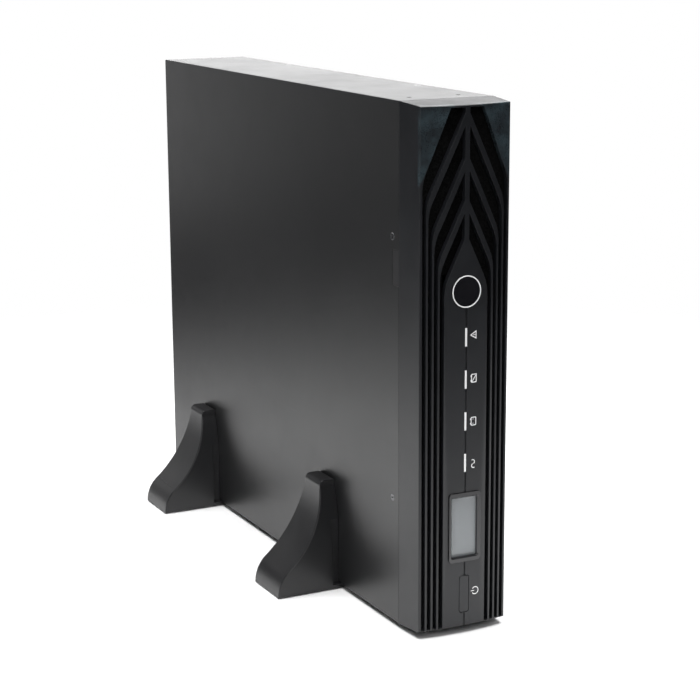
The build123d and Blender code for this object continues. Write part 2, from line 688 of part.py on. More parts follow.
with BuildPart() as badge_disc:
    rods(front(badge_face), [(0, BADGE_Z)], BADGE_R, -BADGE_T)
    rods(front(badge_face + BADGE_T), [(0, BADGE_Z)], BADGE_SHAFT_R, badge_face + BADGE_T - inner_face - 1)
    rods(front(inner_face + RUN_GAP), [(0, BADGE_Z)], COLLAR_R, -1.2)
save(badge_disc, "badge_disc")

with BuildPart() as badge_ring:
    rods(front(badge_face), [(0, BADGE_Z)], BADGE_R, RING_T)
    rods(front(badge_face), [(0, BADGE_Z)], BADGE_R - RING_W, RING_T, 0, Mode.SUBTRACT)
save(badge_ring, "badge_ring")

# ---------------------------------------------------------------------------
# Battery drawer
# ---------------------------------------------------------------------------
shelf_z = batt_z[1] - SHEET
drawer_in_y1 = drawer_y1 - SHEET
PLUG2_W = 28.0
PLUG2_H = 20.0
PLUG2_FRONT = batt_y[1] + BATT_Y + 2.8
PLUG2_REACH = 16.0
LIP_W = 9.0

with BuildPart() as battery_tray:
    block((-drawer_x, drawer_x), (BULKHEAD_Y - SHEET, drawer_y1), (drawer_z0, drawer_z1))
    tray_room = ((-drawer_x - 1, drawer_x - SHEET), (BULKHEAD_Y, drawer_in_y1))
    block(*tray_room, (batt_z[0], drawer_z1 - SHEET), Mode.SUBTRACT)
    block((-drawer_x, -drawer_x + SHEET), (BULKHEAD_Y, drawer_in_y1), (drawer_z0, batt_z[0] + LIP_W))
    block((-drawer_x, -drawer_x + SHEET), (BULKHEAD_Y, drawer_in_y1), (drawer_z1 - LIP_W, drawer_z1))
    block((-drawer_x + SHEET, drawer_x - SHEET), (BULKHEAD_Y, batt_y[1] + BATT_Y), (shelf_z, batt_z[1]))
    block((-lip_x, lip_x), (BULKHEAD_Y - SHEET, BULKHEAD_Y), lip_z)
    rods(front(0), tray_screw_spots, SCREW_HOLE_R, -BULKHEAD_Y, 0, Mode.SUBTRACT)
    plates(front(drawer_in_y1), [(0, SOCKET_Z)], PLUG2_W, PLUG2_H, -SHEET, mode=Mode.SUBTRACT)
save(battery_tray, "battery_tray")

LID_H = 9.0
LID_LAP = 0.6

with BuildPart() as batteries:
    for y in batt_y:
        for z in batt_z:
            block(
                (-BATT_X / 2 + LID_LAP, BATT_X / 2 - LID_LAP),
                (y + LID_LAP, y + BATT_Y - LID_LAP),
                (z, z + BATT_Z - LID_H),
            )
            block((-BATT_X / 2, BATT_X / 2), (y, y + BATT_Y), (z + BATT_Z - LID_H, z + BATT_Z))
    fillet(batteries.edges().filter_by(Axis.Z), 1.2)
save(batteries, "batteries")

TAB_X = 22.0
TAB_W = 6.35
TAB_T = 0.8
TAB_INSET = 14.0

tab_y = (batt_y[0] + BATT_Y - TAB_INSET, batt_y[1] + TAB_INSET)
wire_z = [z + BATT_Z + TAB_H + WIRE_GAP + WIRE_R for z in batt_z]
riser_y = PLUG2_FRONT + 2.4

with BuildPart() as battery_terminals:
    for z in batt_z:
        tabs = [(x, y) for x in (-TAB_X, TAB_X) for y in tab_y]
        plates(level(z + BATT_Z), tabs, TAB_T, TAB_W, TAB_H)
save(battery_terminals, "battery_terminals")

LEAD_X = 7.0
LEAD_SHIFT = 16.0

with BuildPart() as battery_links:
    for z in wire_z:
        tube([(TAB_X, tab_y[0] - 3, z), (TAB_X, tab_y[1] + 3, z)], WIRE_R, 5)
    tube(
        [
            (-TAB_X, tab_y[1] - 3, wire_z[0]),
            (-TAB_X, riser_y, wire_z[0]),
            (-TAB_X, riser_y, wire_z[1]),
            (-TAB_X, tab_y[1] - 3, wire_z[1]),
        ],
        WIRE_R,
        6,
    )
    plug_edge = (SOCKET_Z - PLUG2_H / 2, SOCKET_Z + PLUG2_H / 2)
    for x, z, z_end in ((-LEAD_X, wire_z[0], plug_edge[0]), (LEAD_X, wire_z[1], plug_edge[1])):
        tube(
            [
                (-TAB_X, tab_y[0] - 3, z),
                (-TAB_X, tab_y[0] + 6, z),
                (x, tab_y[0] + 6 + LEAD_SHIFT, z),
                (x, riser_y, z),
                (x, riser_y, z_end),
            ],
            WIRE_R,
            6,
        )
save(battery_links, "battery_links")

with BuildPart() as battery_plug:
    block(
        (-PLUG2_W / 2, PLUG2_W / 2),
        (PLUG2_FRONT, drawer_y1 + PLUG2_REACH),
        plug_edge,
    )
    chamfer(battery_plug.faces().sort_by(Axis.Y)[-1].edges(), 1.0)
save(battery_plug, "battery_plug")

with BuildPart() as battery_socket:
    block(
        (-SOCKET_W / 2, SOCKET_W / 2),
        (drawer_y1 + 2, drawer_y1 + PLUG2_REACH + 10),
        (SOCKET_Z - SOCKET_H / 2, SOCKET_Z + SOCKET_H / 2),
    )
    block(
        (-PLUG2_W / 2 - RUN_GAP, PLUG2_W / 2 + RUN_GAP),
        (drawer_y1, drawer_y1 + PLUG2_REACH + 1),
        (plug_edge[0] - RUN_GAP, plug_edge[1] + RUN_GAP),
        Mode.SUBTRACT,
    )
save(battery_socket, "battery_socket")

HANDLE_Z = (85.0, 145.0)
HANDLE_W = 12.0
HANDLE_T = 3.0
HANDLE_REACH = 13.0

with BuildPart() as tray_handle:
    with BuildSketch(side(-HANDLE_W / 2)):
        with BuildLine():
            FilletPolyline(
                (BULKHEAD_Y - SHEET - HANDLE_T / 2, HANDLE_Z[0] - 8),
                (BULKHEAD_Y - SHEET - HANDLE_T / 2, HANDLE_Z[0]),
                (-HANDLE_REACH, HANDLE_Z[0]),
                (-HANDLE_REACH, HANDLE_Z[1]),
                (BULKHEAD_Y - SHEET - HANDLE_T / 2, HANDLE_Z[1]),
                (BULKHEAD_Y - SHEET - HANDLE_T / 2, HANDLE_Z[1] + 8),
                radius=(1.6, 4, 4, 1.6),
            )
        trace(line_width=HANDLE_T)
    extrude(amount=HANDLE_W)
save(tray_handle, "tray_handle")

with BuildPart() as tray_screws:
    rods(front(BULKHEAD_Y - SHEET), tray_screw_spots, 3.0, 2.0)
    rods(front(BULKHEAD_Y - SHEET), tray_screw_spots, SCREW_R, -7.0)
    plates(front(BULKHEAD_Y - SHEET - 1), tray_screw_spots, 3.4, 0.7, 2, mode=Mode.SUBTRACT)
save(tray_screws, "tray_screws")

# ---------------------------------------------------------------------------
# Electronics: boards on standoffs off the right side, with what they carry
# ---------------------------------------------------------------------------
STANDOFF_L = 6.4
MAIN_Z = (bay_top + SHEET + 14.2, CHASSIS_H - 8.0)
MAIN_Y = (15.0, REAR_IN - 34.8)
IO_Z = (14.0, bay_top + SHEET)
IO_Y = (bay_wall_y + 18.0, REAR_IN - 32.8)
STANDOFF_R = 3.0
STANDOFF_INSET = 6.0

board_x1 = IN_X - STANDOFF_L
board_x0 = board_x1 - BOARD_T
main_corners = [
    (y, z)
    for y in (MAIN_Y[0] + STANDOFF_INSET, sum(MAIN_Y) / 2, MAIN_Y[1] - STANDOFF_INSET)
    for z in (MAIN_Z[0] + STANDOFF_INSET, MAIN_Z[1] - STANDOFF_INSET)
]
io_corners = [
    (y, z)
    for y in (IO_Y[0] + STANDOFF_INSET, IO_Y[1] - STANDOFF_INSET)
    for z in (IO_Z[0] + STANDOFF_INSET, IO_Z[1] - STANDOFF_INSET)
]

with BuildPart() as main_board:
    block((board_x0, board_x1), MAIN_Y, MAIN_Z)
save(main_board, "main_board")

with BuildPart() as io_board:
    block((board_x0, board_x1), IO_Y, IO_Z)
save(io_board, "io_board")

with BuildPart() as board_standoffs:
    rods(side(board_x1), main_corners + io_corners, STANDOFF_R, STANDOFF_L)
save(board_standoffs, "board_standoffs")

SINK_Y = ((60.0, 190.0), (240.0, 390.0))
SINK_L = 50.0
SINK_DROP = 80.0
SPINE_T = 5.0
SINK_FIN_H = 24.0
SINK_FIN_T = 1.6
SINK_FINS = 7
DEVICE_L = 16.0
DEVICE_LEG_L = 9.0
DEVICE_T = 5.0
DEVICE_W = 15.0
DEVICE_PITCH = 28.0
DEVICE_COUNT = 4

sink_x = board_x0 - SINK_L
sink_z = MAIN_Z[1] - SINK_DROP
device_x = (board_x0 - DEVICE_LEG_L - DEVICE_L, board_x0 - DEVICE_LEG_L)

with BuildPart() as heatsinks:
    for y in SINK_Y:
        block((sink_x, board_x0), y, (sink_z, sink_z + SPINE_T))
        for i in range(SINK_FINS):
            x = sink_x + i * (board_x0 - sink_x - SINK_FIN_T) / (SINK_FINS - 1)
            block((x, x + SINK_FIN_T), y, (sink_z + SPINE_T, sink_z + SPINE_T + SINK_FIN_H))
save(heatsinks, "heatsinks")

with BuildPart() as power_transistors:
    for y0, y1 in SINK_Y:
        first = (y0 + y1) / 2 - (DEVICE_COUNT - 1) / 2 * DEVICE_PITCH
        for i in range(DEVICE_COUNT):
            y = first + i * DEVICE_PITCH
            block(device_x, (y - DEVICE_W / 2, y + DEVICE_W / 2), (sink_z - DEVICE_T, sink_z))
            for leg in (-5.4, 0, 5.4):
                block((device_x[1], board_x0), (y + leg - 0.6, y + leg + 0.6), (sink_z - 2.8, sink_z - 2.2))
save(power_transistors, "power_transistors")

CAP_R = 15.0
CAP_L = 42.0
CAP_PITCH = 34.0
CAP_COUNT = 5
CAP_START = 62.0
CAP_Z = MAIN_Z[0] + 50.0

with BuildPart() as bus_capacitors:
    cap_spots = [(CAP_START + i * CAP_PITCH, CAP_Z) for i in range(CAP_COUNT)]
    rods(side(board_x0), cap_spots, CAP_R, -CAP_L)
    fillet(bus_capacitors.faces().sort_by(Axis.X)[0:CAP_COUNT].edges(), 1.5)
save(bus_capacitors, "bus_capacitors")

COIL_R = 17.0
COIL_WIRE_R = 8.0
COIL_Y = (262.0, 322.0, 382.0)

with BuildPart() as inductors:
    for y in COIL_Y:
        with Locations(Location((board_x0 - COIL_WIRE_R - 0.1, Y0 + y, Z0 + CAP_Z), (0, 90, 0))):
            Torus(COIL_R, COIL_WIRE_R)
save(inductors, "inductors")

CORE_X = 46.0
CORE_Y = (IO_Y[0] + 17.0, IO_Y[0] + 87.0)
CORE_Z = (36.0, 94.0)
CORE_GAP = 0.3
LIMB = 14.0
COIL_LAP = 9.0

core_x0 = board_x0 - CORE_X
limb_y = (sum(CORE_Y) - LIMB) / 2

with BuildPart() as transformer:
    block((core_x0 + COIL_LAP, board_x0 - COIL_LAP), CORE_Y, CORE_Z)
    window = (CORE_Z[0] + LIMB, CORE_Z[1] - LIMB)
    block((core_x0, board_x0), (CORE_Y[0] + LIMB, limb_y), window, Mode.SUBTRACT)
    block((core_x0, board_x0), (limb_y + LIMB, CORE_Y[1] - LIMB), window, Mode.SUBTRACT)
save(transformer, "transformer")

with BuildPart() as transformer_winding:
    wound_y = (CORE_Y[0] + LIMB + CORE_GAP, CORE_Y[1] - LIMB - CORE_GAP)
    block((core_x0, board_x0), wound_y, (window[0] + CORE_GAP, window[1] - CORE_GAP))
    limb_x = (core_x0 + COIL_LAP - CORE_GAP, board_x0 - COIL_LAP + CORE_GAP)
    block(limb_x, (limb_y - CORE_GAP, limb_y + LIMB + CORE_GAP), window, Mode.SUBTRACT)
save(transformer_winding, "transformer_winding")

RELAY_X = 16.0
RELAY_Y = 28.0
RELAY_Z = 12.5
RELAY_AT = (IO_Y[0] + 11.0, IO_Y[0] + 45.0)
RELAY_ROWS = (112.0, 130.0)

with BuildPart() as relays:
    for y in RELAY_AT:
        for z in RELAY_ROWS:
            block((board_x0 - RELAY_X, board_x0), (y, y + RELAY_Y), (z, z + RELAY_Z))
save(relays, "relays")

# ---------------------------------------------------------------------------
# Rear: fans, inlet, outlets, breaker, ports, stud and screws
# ---------------------------------------------------------------------------
HUB_R = 15.5
MOTOR_D = 4.0
AXLE_R = 1.5
BLADES = 7
BLADE_TIP = 35.5
BLADE_W = 19.0
BLADE_T = 1.6
BLADE_PITCH = 42.0
STRUT_W = 5.0

fan_y = (REAR_IN - FAN_D, REAR_IN)
motor_y = REAR_IN - MOTOR_D
hub_y = (fan_y[0] + 4.0, motor_y - 0.5)

with BuildPart() as fan_frames:
    for z in FAN_Z:
        plates(front(REAR_IN), [(0, z)], FAN_SIZE, FAN_SIZE, FAN_D, 4.0)
    rods(front(REAR_IN), [(0, z) for z in FAN_Z], FAN_BORE_R, FAN_D, 0, Mode.SUBTRACT)
    for z in FAN_Z:
        for turn in (45, 135):
            with BuildSketch(front(REAR_IN)) as strut:
                with Locations((0, z)):
                    Rectangle(2 * FAN_BORE_R + 2, STRUT_W, rotation=turn)
            extrude(strut.sketch, amount=MOTOR_D)
    rods(front(REAR_IN), [(0, z) for z in FAN_Z], HUB_R, MOTOR_D)
    rods(front(REAR_IN), [(0, z) for z in FAN_Z], AXLE_R + SHAFT_GAP, MOTOR_D, 0, Mode.SUBTRACT)
    rods(front(REAR_IN), fan_screw_spots, FAN_PILOT_R, FAN_D, 0, Mode.SUBTRACT)
save(fan_frames, "fan_frames")


def rotor(z):
    """Hub with pitched blades and the axle that turns in the motor plate."""
    middle = (hub_y[0] + hub_y[1]) / 2
    with BuildPart(Plane(origin=(0, Y0 + middle, Z0 + z), x_dir=(1, 0, 0), z_dir=(0, -1, 0))) as fan_rotor:
        Cylinder(HUB_R, hub_y[1] - hub_y[0])
        with PolarLocations((HUB_R + BLADE_TIP) / 2 - 1, BLADES):
            Box(BLADE_TIP - HUB_R + 2, BLADE_T, BLADE_W, rotation=(BLADE_PITCH, 0, 0))
        with Locations((0, 0, -(hub_y[1] - hub_y[0]) / 2)):
            Cylinder(AXLE_R, MOTOR_D, align=(Align.CENTER, Align.CENTER, Align.MAX))
    return fan_rotor


save(rotor(FAN_Z[0]), "fan_rotor_lower")
save(rotor(FAN_Z[1]), "fan_rotor_upper")

GUARD_R = 0.9
GUARD_GAP = 0.05
GUARD_HEAD_T = 1.8
GUARD_SCREW_L = 8.0
THUMB_HEAD_R = 4.0
THUMB_HEAD_T = 5.0
GUARD_RINGS = (40.0, 30.5, 21.0, 11.5)
LOOP_R = 3.4
SPOKE_OFFSET = 0.5

guard_y = CHASSIS_D + GUARD_R + GUARD_GAP

with BuildPart() as fan_guards:
    ring_sizes = [(x, z, LOOP_R) for x, z in fan_screw_spots]
    ring_sizes += [(0, z, radius) for z in FAN_Z for radius in GUARD_RINGS]
    for x, z, radius in ring_sizes:
        with Locations(Location((x, Y0 + guard_y, Z0 + z), (90, 0, 0))):
            Torus(radius, GUARD_R)
    for z in FAN_Z:
        for turn in (45, 135):
            with Locations(Location((0, Y0 + guard_y + SPOKE_OFFSET, Z0 + z), (0, turn, 0))):
                Cylinder(GUARD_R, 2 * (half_pitch * math.sqrt(2) - LOOP_R))
save(fan_guards, "fan_guards")

GUARD_SCREW_R = 2.0
guard_top = guard_y + GUARD_R

with BuildPart() as rear_screws:
    rods(front(guard_top), fan_screw_spots, LOOP_R - SNUG_GAP, -GUARD_HEAD_T)
    rods(front(guard_top), fan_screw_spots, GUARD_SCREW_R, GUARD_SCREW_L)
    for turn in (0, 90):
        with BuildSketch(front(guard_top + GUARD_HEAD_T)) as cross:
            with Locations(*fan_screw_spots):
                Rectangle(RECESS_L, RECESS_T, rotation=turn)
        extrude(cross.sketch, amount=GUARD_HEAD_T / 2, mode=Mode.SUBTRACT)
    rods(front(CHASSIS_D + SHEET), slot_screw_spots, THUMB_HEAD_R, -THUMB_HEAD_T)
    rods(front(CHASSIS_D + SHEET), slot_screw_spots, SCREW_R, THUMB_HEAD_T)
save(rear_screws, "rear_screws")

with BuildPart() as slot_cover:
    plates(front(CHASSIS_D), [(SLOT_X, SLOT_Z)], SLOT_W, SLOT_H, -SHEET, 1.5)
    rods(front(CHASSIS_D), slot_screw_spots, SCREW_HOLE_R, -SHEET, 0, Mode.SUBTRACT)
save(slot_cover, "slot_cover")

FLANGE_LAP = 2.0
FLANGE_CORNER = 1.5
INLET_FLANGE_T = 2.5
INLET_D = 30.0
INLET_CAVITY_W = 24.5
INLET_CAVITY_H = 19.5
INLET_CAVITY_D = 16.0
PIN_W = 8.0
PIN_T = 2.0
PIN_L = 14.0
PIN_REAR = 8.0
pin_spots = [(INLET_X - 6.5, INLET_Z - 3.0), (INLET_X + 6.5, INLET_Z - 3.0), (INLET_X, INLET_Z + 5.0)]
inlet_face = CHASSIS_D + INLET_FLANGE_T
inlet_floor = inlet_face - INLET_CAVITY_D
inlet_back = CHASSIS_D - INLET_D

with BuildPart() as ac_inlet:
    spot = [(INLET_X, INLET_Z)]
    plates(front(inlet_face), spot, INLET_W + 2 * FLANGE_LAP, INLET_H + 2 * FLANGE_LAP, INLET_FLANGE_T, 2)
    plates(front(CHASSIS_D), spot, INLET_W, INLET_H, INLET_D)
    plates(front(inlet_face), spot, INLET_CAVITY_W, INLET_CAVITY_H, INLET_CAVITY_D, 2, Mode.SUBTRACT)
    plates(front(inlet_back), pin_spots, PIN_W, PIN_T, PIN_REAR)
    plates(front(inlet_floor + PIN_L), pin_spots, PIN_W, PIN_T, PIN_L)
save(ac_inlet, "ac_inlet")

OUTLET_FLANGE_T = 2.0
OUTLET_D = 22.0
OUTLET_CAVITY_W = 24.6
OUTLET_CAVITY_H = 16.6
OUTLET_CAVITY_D = 16.0
OUTLET_CORNER = 5.0
TONGUE_W = 17.6
TONGUE_H = 9.8
SLIT_W = 5.0
SLIT_H = 2.2
outlet_face = CHASSIS_D + OUTLET_FLANGE_T


def keyed_plates(plane, width, height, depth, mode=Mode.ADD):
    """One plate per outlet with two cut corners, so that a plug fits one way only."""
    cut = OUTLET_CORNER * width / OUTLET_CAVITY_W
    corners = [
        (-width / 2, -height / 2),
        (width / 2, -height / 2),
        (width / 2, height / 2 - cut),
        (width / 2 - cut, height / 2),
        (-width / 2 + cut, height / 2),
        (-width / 2, height / 2 - cut),
    ]
    with BuildSketch(plane) as outlines:
        with Locations(*outlet_spots):
            Polygon(*corners, align=None)
    extrude(outlines.sketch, amount=depth, mode=mode)


with BuildPart() as outlets:
    flange = (OUTLET_W + 2 * FLANGE_LAP, OUTLET_H + 2 * FLANGE_LAP)
    plates(front(outlet_face), outlet_spots, *flange, OUTLET_FLANGE_T, FLANGE_CORNER)
    plates(front(CHASSIS_D), outlet_spots, OUTLET_W, OUTLET_H, OUTLET_D)
    keyed_plates(front(outlet_face), OUTLET_CAVITY_W, OUTLET_CAVITY_H, OUTLET_CAVITY_D, Mode.SUBTRACT)
    keyed_plates(front(outlet_face - 1), TONGUE_W, TONGUE_H, OUTLET_CAVITY_D - 1)
    slits = [(x + dx, z + dz) for x, z in outlet_spots for dx, dz in ((-5.6, -1.2), (5.6, -1.2), (0, 2.4))]
    plates(front(outlet_face - 1), slits, SLIT_W, SLIT_H, 10, mode=Mode.SUBTRACT)
save(outlets, "outlets")

BREAKER_D = 30.0
BREAKER_W = 16.0
BREAKER_H = 32.0
BREAKER_BUTTON_R = 4.5
BREAKER_PROUD = 5.0
BREAKER_TRAVEL = 3.0
BREAKER_STEM = 12.0

with BuildPart() as breaker_body:
    spot = [(BREAKER_X, BREAKER_Z)]
    plates(front(REAR_IN), spot, BREAKER_W, BREAKER_H, BREAKER_D)
    rods(front(REAR_IN), spot, BREAKER_BUSH_R, -SHEET - BREAKER_PROUD)
    with BuildSketch(front(CHASSIS_D)) as nut:
        with Locations(*spot):
            RegularPolygon(BREAKER_BUSH_R + 2.5, 6)
    extrude(nut.sketch, amount=-2.5)
    rods(
        front(CHASSIS_D + BREAKER_PROUD),
        spot,
        BREAKER_BUTTON_R + RUN_GAP,
        BREAKER_STEM + BREAKER_PROUD,
        0,
        Mode.SUBTRACT,
    )
save(breaker_body, "breaker_body")

with BuildPart() as breaker_button:
    rods(front(CHASSIS_D + BREAKER_PROUD + BREAKER_TRAVEL / 2), spot, BREAKER_BUTTON_R, BREAKER_STEM)
    fillet(breaker_button.faces().sort_by(Axis.Y)[-1].edges(), 0.8)
save(breaker_button, "breaker_button")

USB_D = 16.0
USB_OPEN_W = 8.5
USB_OPEN_H = 7.8

with BuildPart() as usb_port:
    spot = [(USB_X, USB_Z)]
    plates(front(CHASSIS_D + 1), spot, USB_W, USB_H, USB_D + 1)
    plates(front(CHASSIS_D + 1), spot, USB_OPEN_W, USB_OPEN_H, 10, 0.8, Mode.SUBTRACT)
    plates(front(CHASSIS_D), spot, USB_OPEN_W - 3, USB_OPEN_H - 4.6, 9)
save(usb_port, "usb_port")

SERIAL_D = 12.0
SERIAL_SCREW = 12.5

with BuildPart() as serial_port:
    spot = [(SERIAL_X, SERIAL_Z)]
    plates(front(CHASSIS_D), spot, SERIAL_W, SERIAL_H, SERIAL_D)
    plates(front(CHASSIS_D), spot, SERIAL_W + 4, SERIAL_H + 14, -1.0, 1)
    plates(front(CHASSIS_D + 1), spot, SERIAL_W - 0.4, SERIAL_H - 0.4, -5.5, 2.5)
    pegs = [(SERIAL_X, SERIAL_Z + dz) for dz in (-SERIAL_SCREW, SERIAL_SCREW)]
    with BuildSketch(front(CHASSIS_D + 1)) as hexes:
        with Locations(*pegs):
            RegularPolygon(2.6, 6)
    extrude(hexes.sketch, amount=-5.0)
    rods(front(CHASSIS_D + 6), pegs, 1.3, 4.0, 0, Mode.SUBTRACT)
    contacts = [(SERIAL_X + dx, SERIAL_Z + (i - 2) * 2.7) for i in range(5) for dx in (-1.4, 1.4)]
    rods(front(CHASSIS_D + 6.5), contacts[:9], 0.6, 4.0, 0, Mode.SUBTRACT)
save(serial_port, "serial_port")

PORT_D = 20.0
PORT_PROUD = 5.0
PORT_CELL_W = 17.0
PORT_CELL_H = 14.0
PORT_CELL_D = 18.0
port_cells = [(PORT_X + dx, PORT_Z) for dx in (-PORT_W / 4 + 0.5, PORT_W / 4 - 0.5)]
port_face = CHASSIS_D + PORT_PROUD
port_floor = port_face - PORT_CELL_D

with BuildPart() as battery_port:
    spot = [(PORT_X, PORT_Z)]
    plates(front(CHASSIS_D), spot, PORT_W, PORT_H, PORT_D)
    plates(front(port_face), spot, PORT_W, PORT_H, PORT_PROUD, 2)
    plates(front(CHASSIS_D + 2), spot, PORT_W + 4, PORT_H + 4, 2, 2)
    plates(front(port_face), port_cells, PORT_CELL_W, PORT_CELL_H, PORT_CELL_D, 1, Mode.SUBTRACT)
    blades = [(x, z - PORT_CELL_H / 2 + 2.5) for x, z in port_cells]
    plates(front(port_floor + PORT_CELL_D - 3), blades, 10.0, 2.0, PORT_CELL_D - 3)
save(battery_port, "battery_port")

with BuildPart() as earth_stud:
    spot = [(STUD_X, STUD_Z)]
    rods(front(CHASSIS_D + STUD_PROUD), spot, STUD_R, STUD_PROUD + SHEET + 4)
    with BuildSketch(front(CHASSIS_D)) as nut:
        with Locations(*spot):
            RegularPolygon(4.0, 6)
    extrude(nut.sketch, amount=-3.0)
    with BuildSketch(front(REAR_IN)) as lock_nut:
        with Locations(*spot):
            RegularPolygon(4.0, 6)
    extrude(lock_nut.sketch, amount=3.0)
save(earth_stud, "earth_stud")

MAINS_R = 1.9
MAINS_RUN = 25.0
MAINS_STAGGER = 1.4

with BuildPart() as mains_wires:
    for x, z in pin_spots:
        turn_y = inlet_back - PIN_REAR - MAINS_RUN + MAINS_STAGGER * (x - INLET_X)
        tube([(x, inlet_back - PIN_REAR, z), (x, turn_y, z), (board_x0, turn_y, z)], MAINS_R, 8)
save(mains_wires, "mains_wires")

RIBBON_W = 12.0
RIBBON_T = 1.2

with BuildPart() as ribbon_cable:
    with BuildSketch(level(PLUG_Z - RIBBON_W / 2)):
        with BuildLine():
            FilletPolyline(
                (0, socket_front + SOCKET_D),
                (0, socket_front + SOCKET_D + 22),
                (board_x0, socket_front + SOCKET_D + 22),
                radius=9,
            )
        trace(line_width=RIBBON_T)
    extrude(amount=RIBBON_W)
save(ribbon_cable, "ribbon_cable")

# ---------------------------------------------------------------------------
# Stand feet: two pairs of halves that meet under the unit, with rubber pads
# ---------------------------------------------------------------------------
STAND_W = 51.6
STAND_TOP_HALF = 14.6
STAND_TOE_X = HALF_W + 61.05
STAND_TOP_X = HALF_W + 14.75
STAND_TOP_Z = 98.8
CREASE_Z = 93.0
SHOULDER_Z = 20.0
TOE_R = 30.0
SWEEP_R = 100.0
STAND_TOP_R = 5.0
STAND_FOOT_R = 1.5
STAND_EDGE_R = 1.2
STAND_GAP = 0.25
RELIEF_X = HALF_W + 7.75
RELIEF_D = 4.0
RELIEF_TOP = 84.0
STAND_Y = (134.5, CHASSIS_D - 98.9)
TONGUE_HALF = 10.0
TONGUE_L = 12.0
PAD_R = 7.0
PAD_T = 1.6
PAD_X = (STAND_TOE_X - 13.3, 22.0)
PAD_INSET = 10.0

toe_centre = STAND_TOE_X - TOE_R
sweep_centre = STAND_TOP_X + SWEEP_R
sweep_z = STAND_LIFT + math.sqrt((TOE_R + SWEEP_R) ** 2 - (sweep_centre - toe_centre) ** 2)
meet = math.degrees(math.atan2(sweep_z - STAND_LIFT, sweep_centre - toe_centre))
crease = math.degrees(math.asin((sweep_z - CREASE_Z) / SWEEP_R))
shoulder_in = STAND_W / 2 - STAND_TOP_HALF
shoulder_r = ((CREASE_Z - SHOULDER_Z) ** 2 + shoulder_in**2) / (2 * shoulder_in)
shoulder_turn = math.degrees(math.asin((CREASE_Z - SHOULDER_Z) / shoulder_r))
shoulder_centre = STAND_W / 2 - shoulder_r


def stand_half(y, sign):
    """One foot: a swept outline that narrows upwards beside the unit, and a plate under it."""
    y_mid = Y0 + y
    with BuildPart() as stand:
        with BuildSketch(Plane(origin=(0, y_mid + STAND_W / 2, 0), x_dir=(1, 0, 0), z_dir=(0, -1, 0))):
            with BuildLine():
                toe = CenterArc((toe_centre, STAND_LIFT), TOE_R, 0, meet)
                sweep_arc = CenterArc((sweep_centre, sweep_z), SWEEP_R, 180 + meet, crease - meet)
                top = FilletPolyline(
                    sweep_arc @ 1,
                    (STAND_TOP_X, STAND_TOP_Z),
                    (HALF_W + STAND_GAP, STAND_TOP_Z),
                    (HALF_W + STAND_GAP, Z0),
                    radius=(STAND_TOP_R, STAND_FOOT_R),
                )
                Polyline(top @ 1, (0, Z0), (0, STAND_LIFT), toe @ 0)
            make_face()
        extrude(amount=STAND_W)
        with BuildSketch(Plane(origin=(0, y_mid, 0), x_dir=(0, 1, 0), z_dir=(1, 0, 0))):
            with BuildLine():
                near = CenterArc((shoulder_centre, SHOULDER_Z), shoulder_r, 0, shoulder_turn)
                far = CenterArc((-shoulder_centre, SHOULDER_Z), shoulder_r, 180, -shoulder_turn)
                Polyline(near @ 1, (STAND_TOP_HALF, STAND_TOP_Z), (-STAND_TOP_HALF, STAND_TOP_Z), far @ 1)
                Polyline(near @ 0, (STAND_W / 2, 0), (-STAND_W / 2, 0), far @ 0)
            make_face()
        extrude(amount=STAND_TOE_X, mode=Mode.INTERSECT)
        outer = stand.edges().filter_by(lambda e: min(v.X for v in e.vertices()) > STAND_TOP_X - STAND_TOP_R)
        rims = [e for e in outer if abs(e.center().Y - y_mid) > STAND_TOP_HALF / 2]
        fillet([e for e in rims if e.length > STAND_TOP_HALF], STAND_EDGE_R)
        reliefs = [(HALF_W, y_mid + end * STAND_W / 2, Z0) for end in (-1, 1)]
        relief_box = (RELIEF_X - HALF_W, 2 * RELIEF_D, RELIEF_TOP - Z0)
        with Locations(*reliefs):
            Box(*relief_box, align=(Align.MIN, Align.CENTER, Align.MIN), mode=Mode.SUBTRACT)
        if sign < 0:
            mirror(about=Plane.YZ, mode=Mode.REPLACE)
        with Locations((0, y_mid, STAND_LIFT)):
            if sign < 0:
                Box(TONGUE_L, 2 * TONGUE_HALF, STAND_PLATE_T, align=(Align.MIN, Align.CENTER, Align.MIN))
            else:
                Box(
                    TONGUE_L + RUN_GAP,
                    2 * (TONGUE_HALF + RUN_GAP),
                    STAND_PLATE_T,
                    align=(Align.MIN, Align.CENTER, Align.MIN),
                    mode=Mode.SUBTRACT,
                )
        with BuildSketch(Plane.XY.offset(STAND_LIFT)) as pockets:
            with Locations(*pad_spots(y, sign)):
                Circle(PAD_R)
        extrude(pockets.sketch, amount=PAD_T - STAND_LIFT, mode=Mode.SUBTRACT)
    return stand


def pad_spots(y, sign):
    """Centres of one foot's pads on the floor."""
    inset = STAND_W / 2 - PAD_INSET
    return [(sign * x, Y0 + y + dy) for x in PAD_X for dy in (-inset, inset)]


save(stand_half(STAND_Y[0], -1), "stand_front_left")
save(stand_half(STAND_Y[0], 1), "stand_front_right")
save(stand_half(STAND_Y[1], -1), "stand_rear_left")
save(stand_half(STAND_Y[1], 1), "stand_rear_right")

with BuildPart() as stand_pads:
    for y in STAND_Y:
        for sign in (-1, 1):
            with BuildSketch(Plane.XY) as pads:
                with Locations(*pad_spots(y, sign)):
                    Circle(PAD_R)
            extrude(pads.sketch, amount=PAD_T)
save(stand_pads, "stand_pads")
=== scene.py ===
import json
import math

import bpy
from mathutils import Matrix, Vector


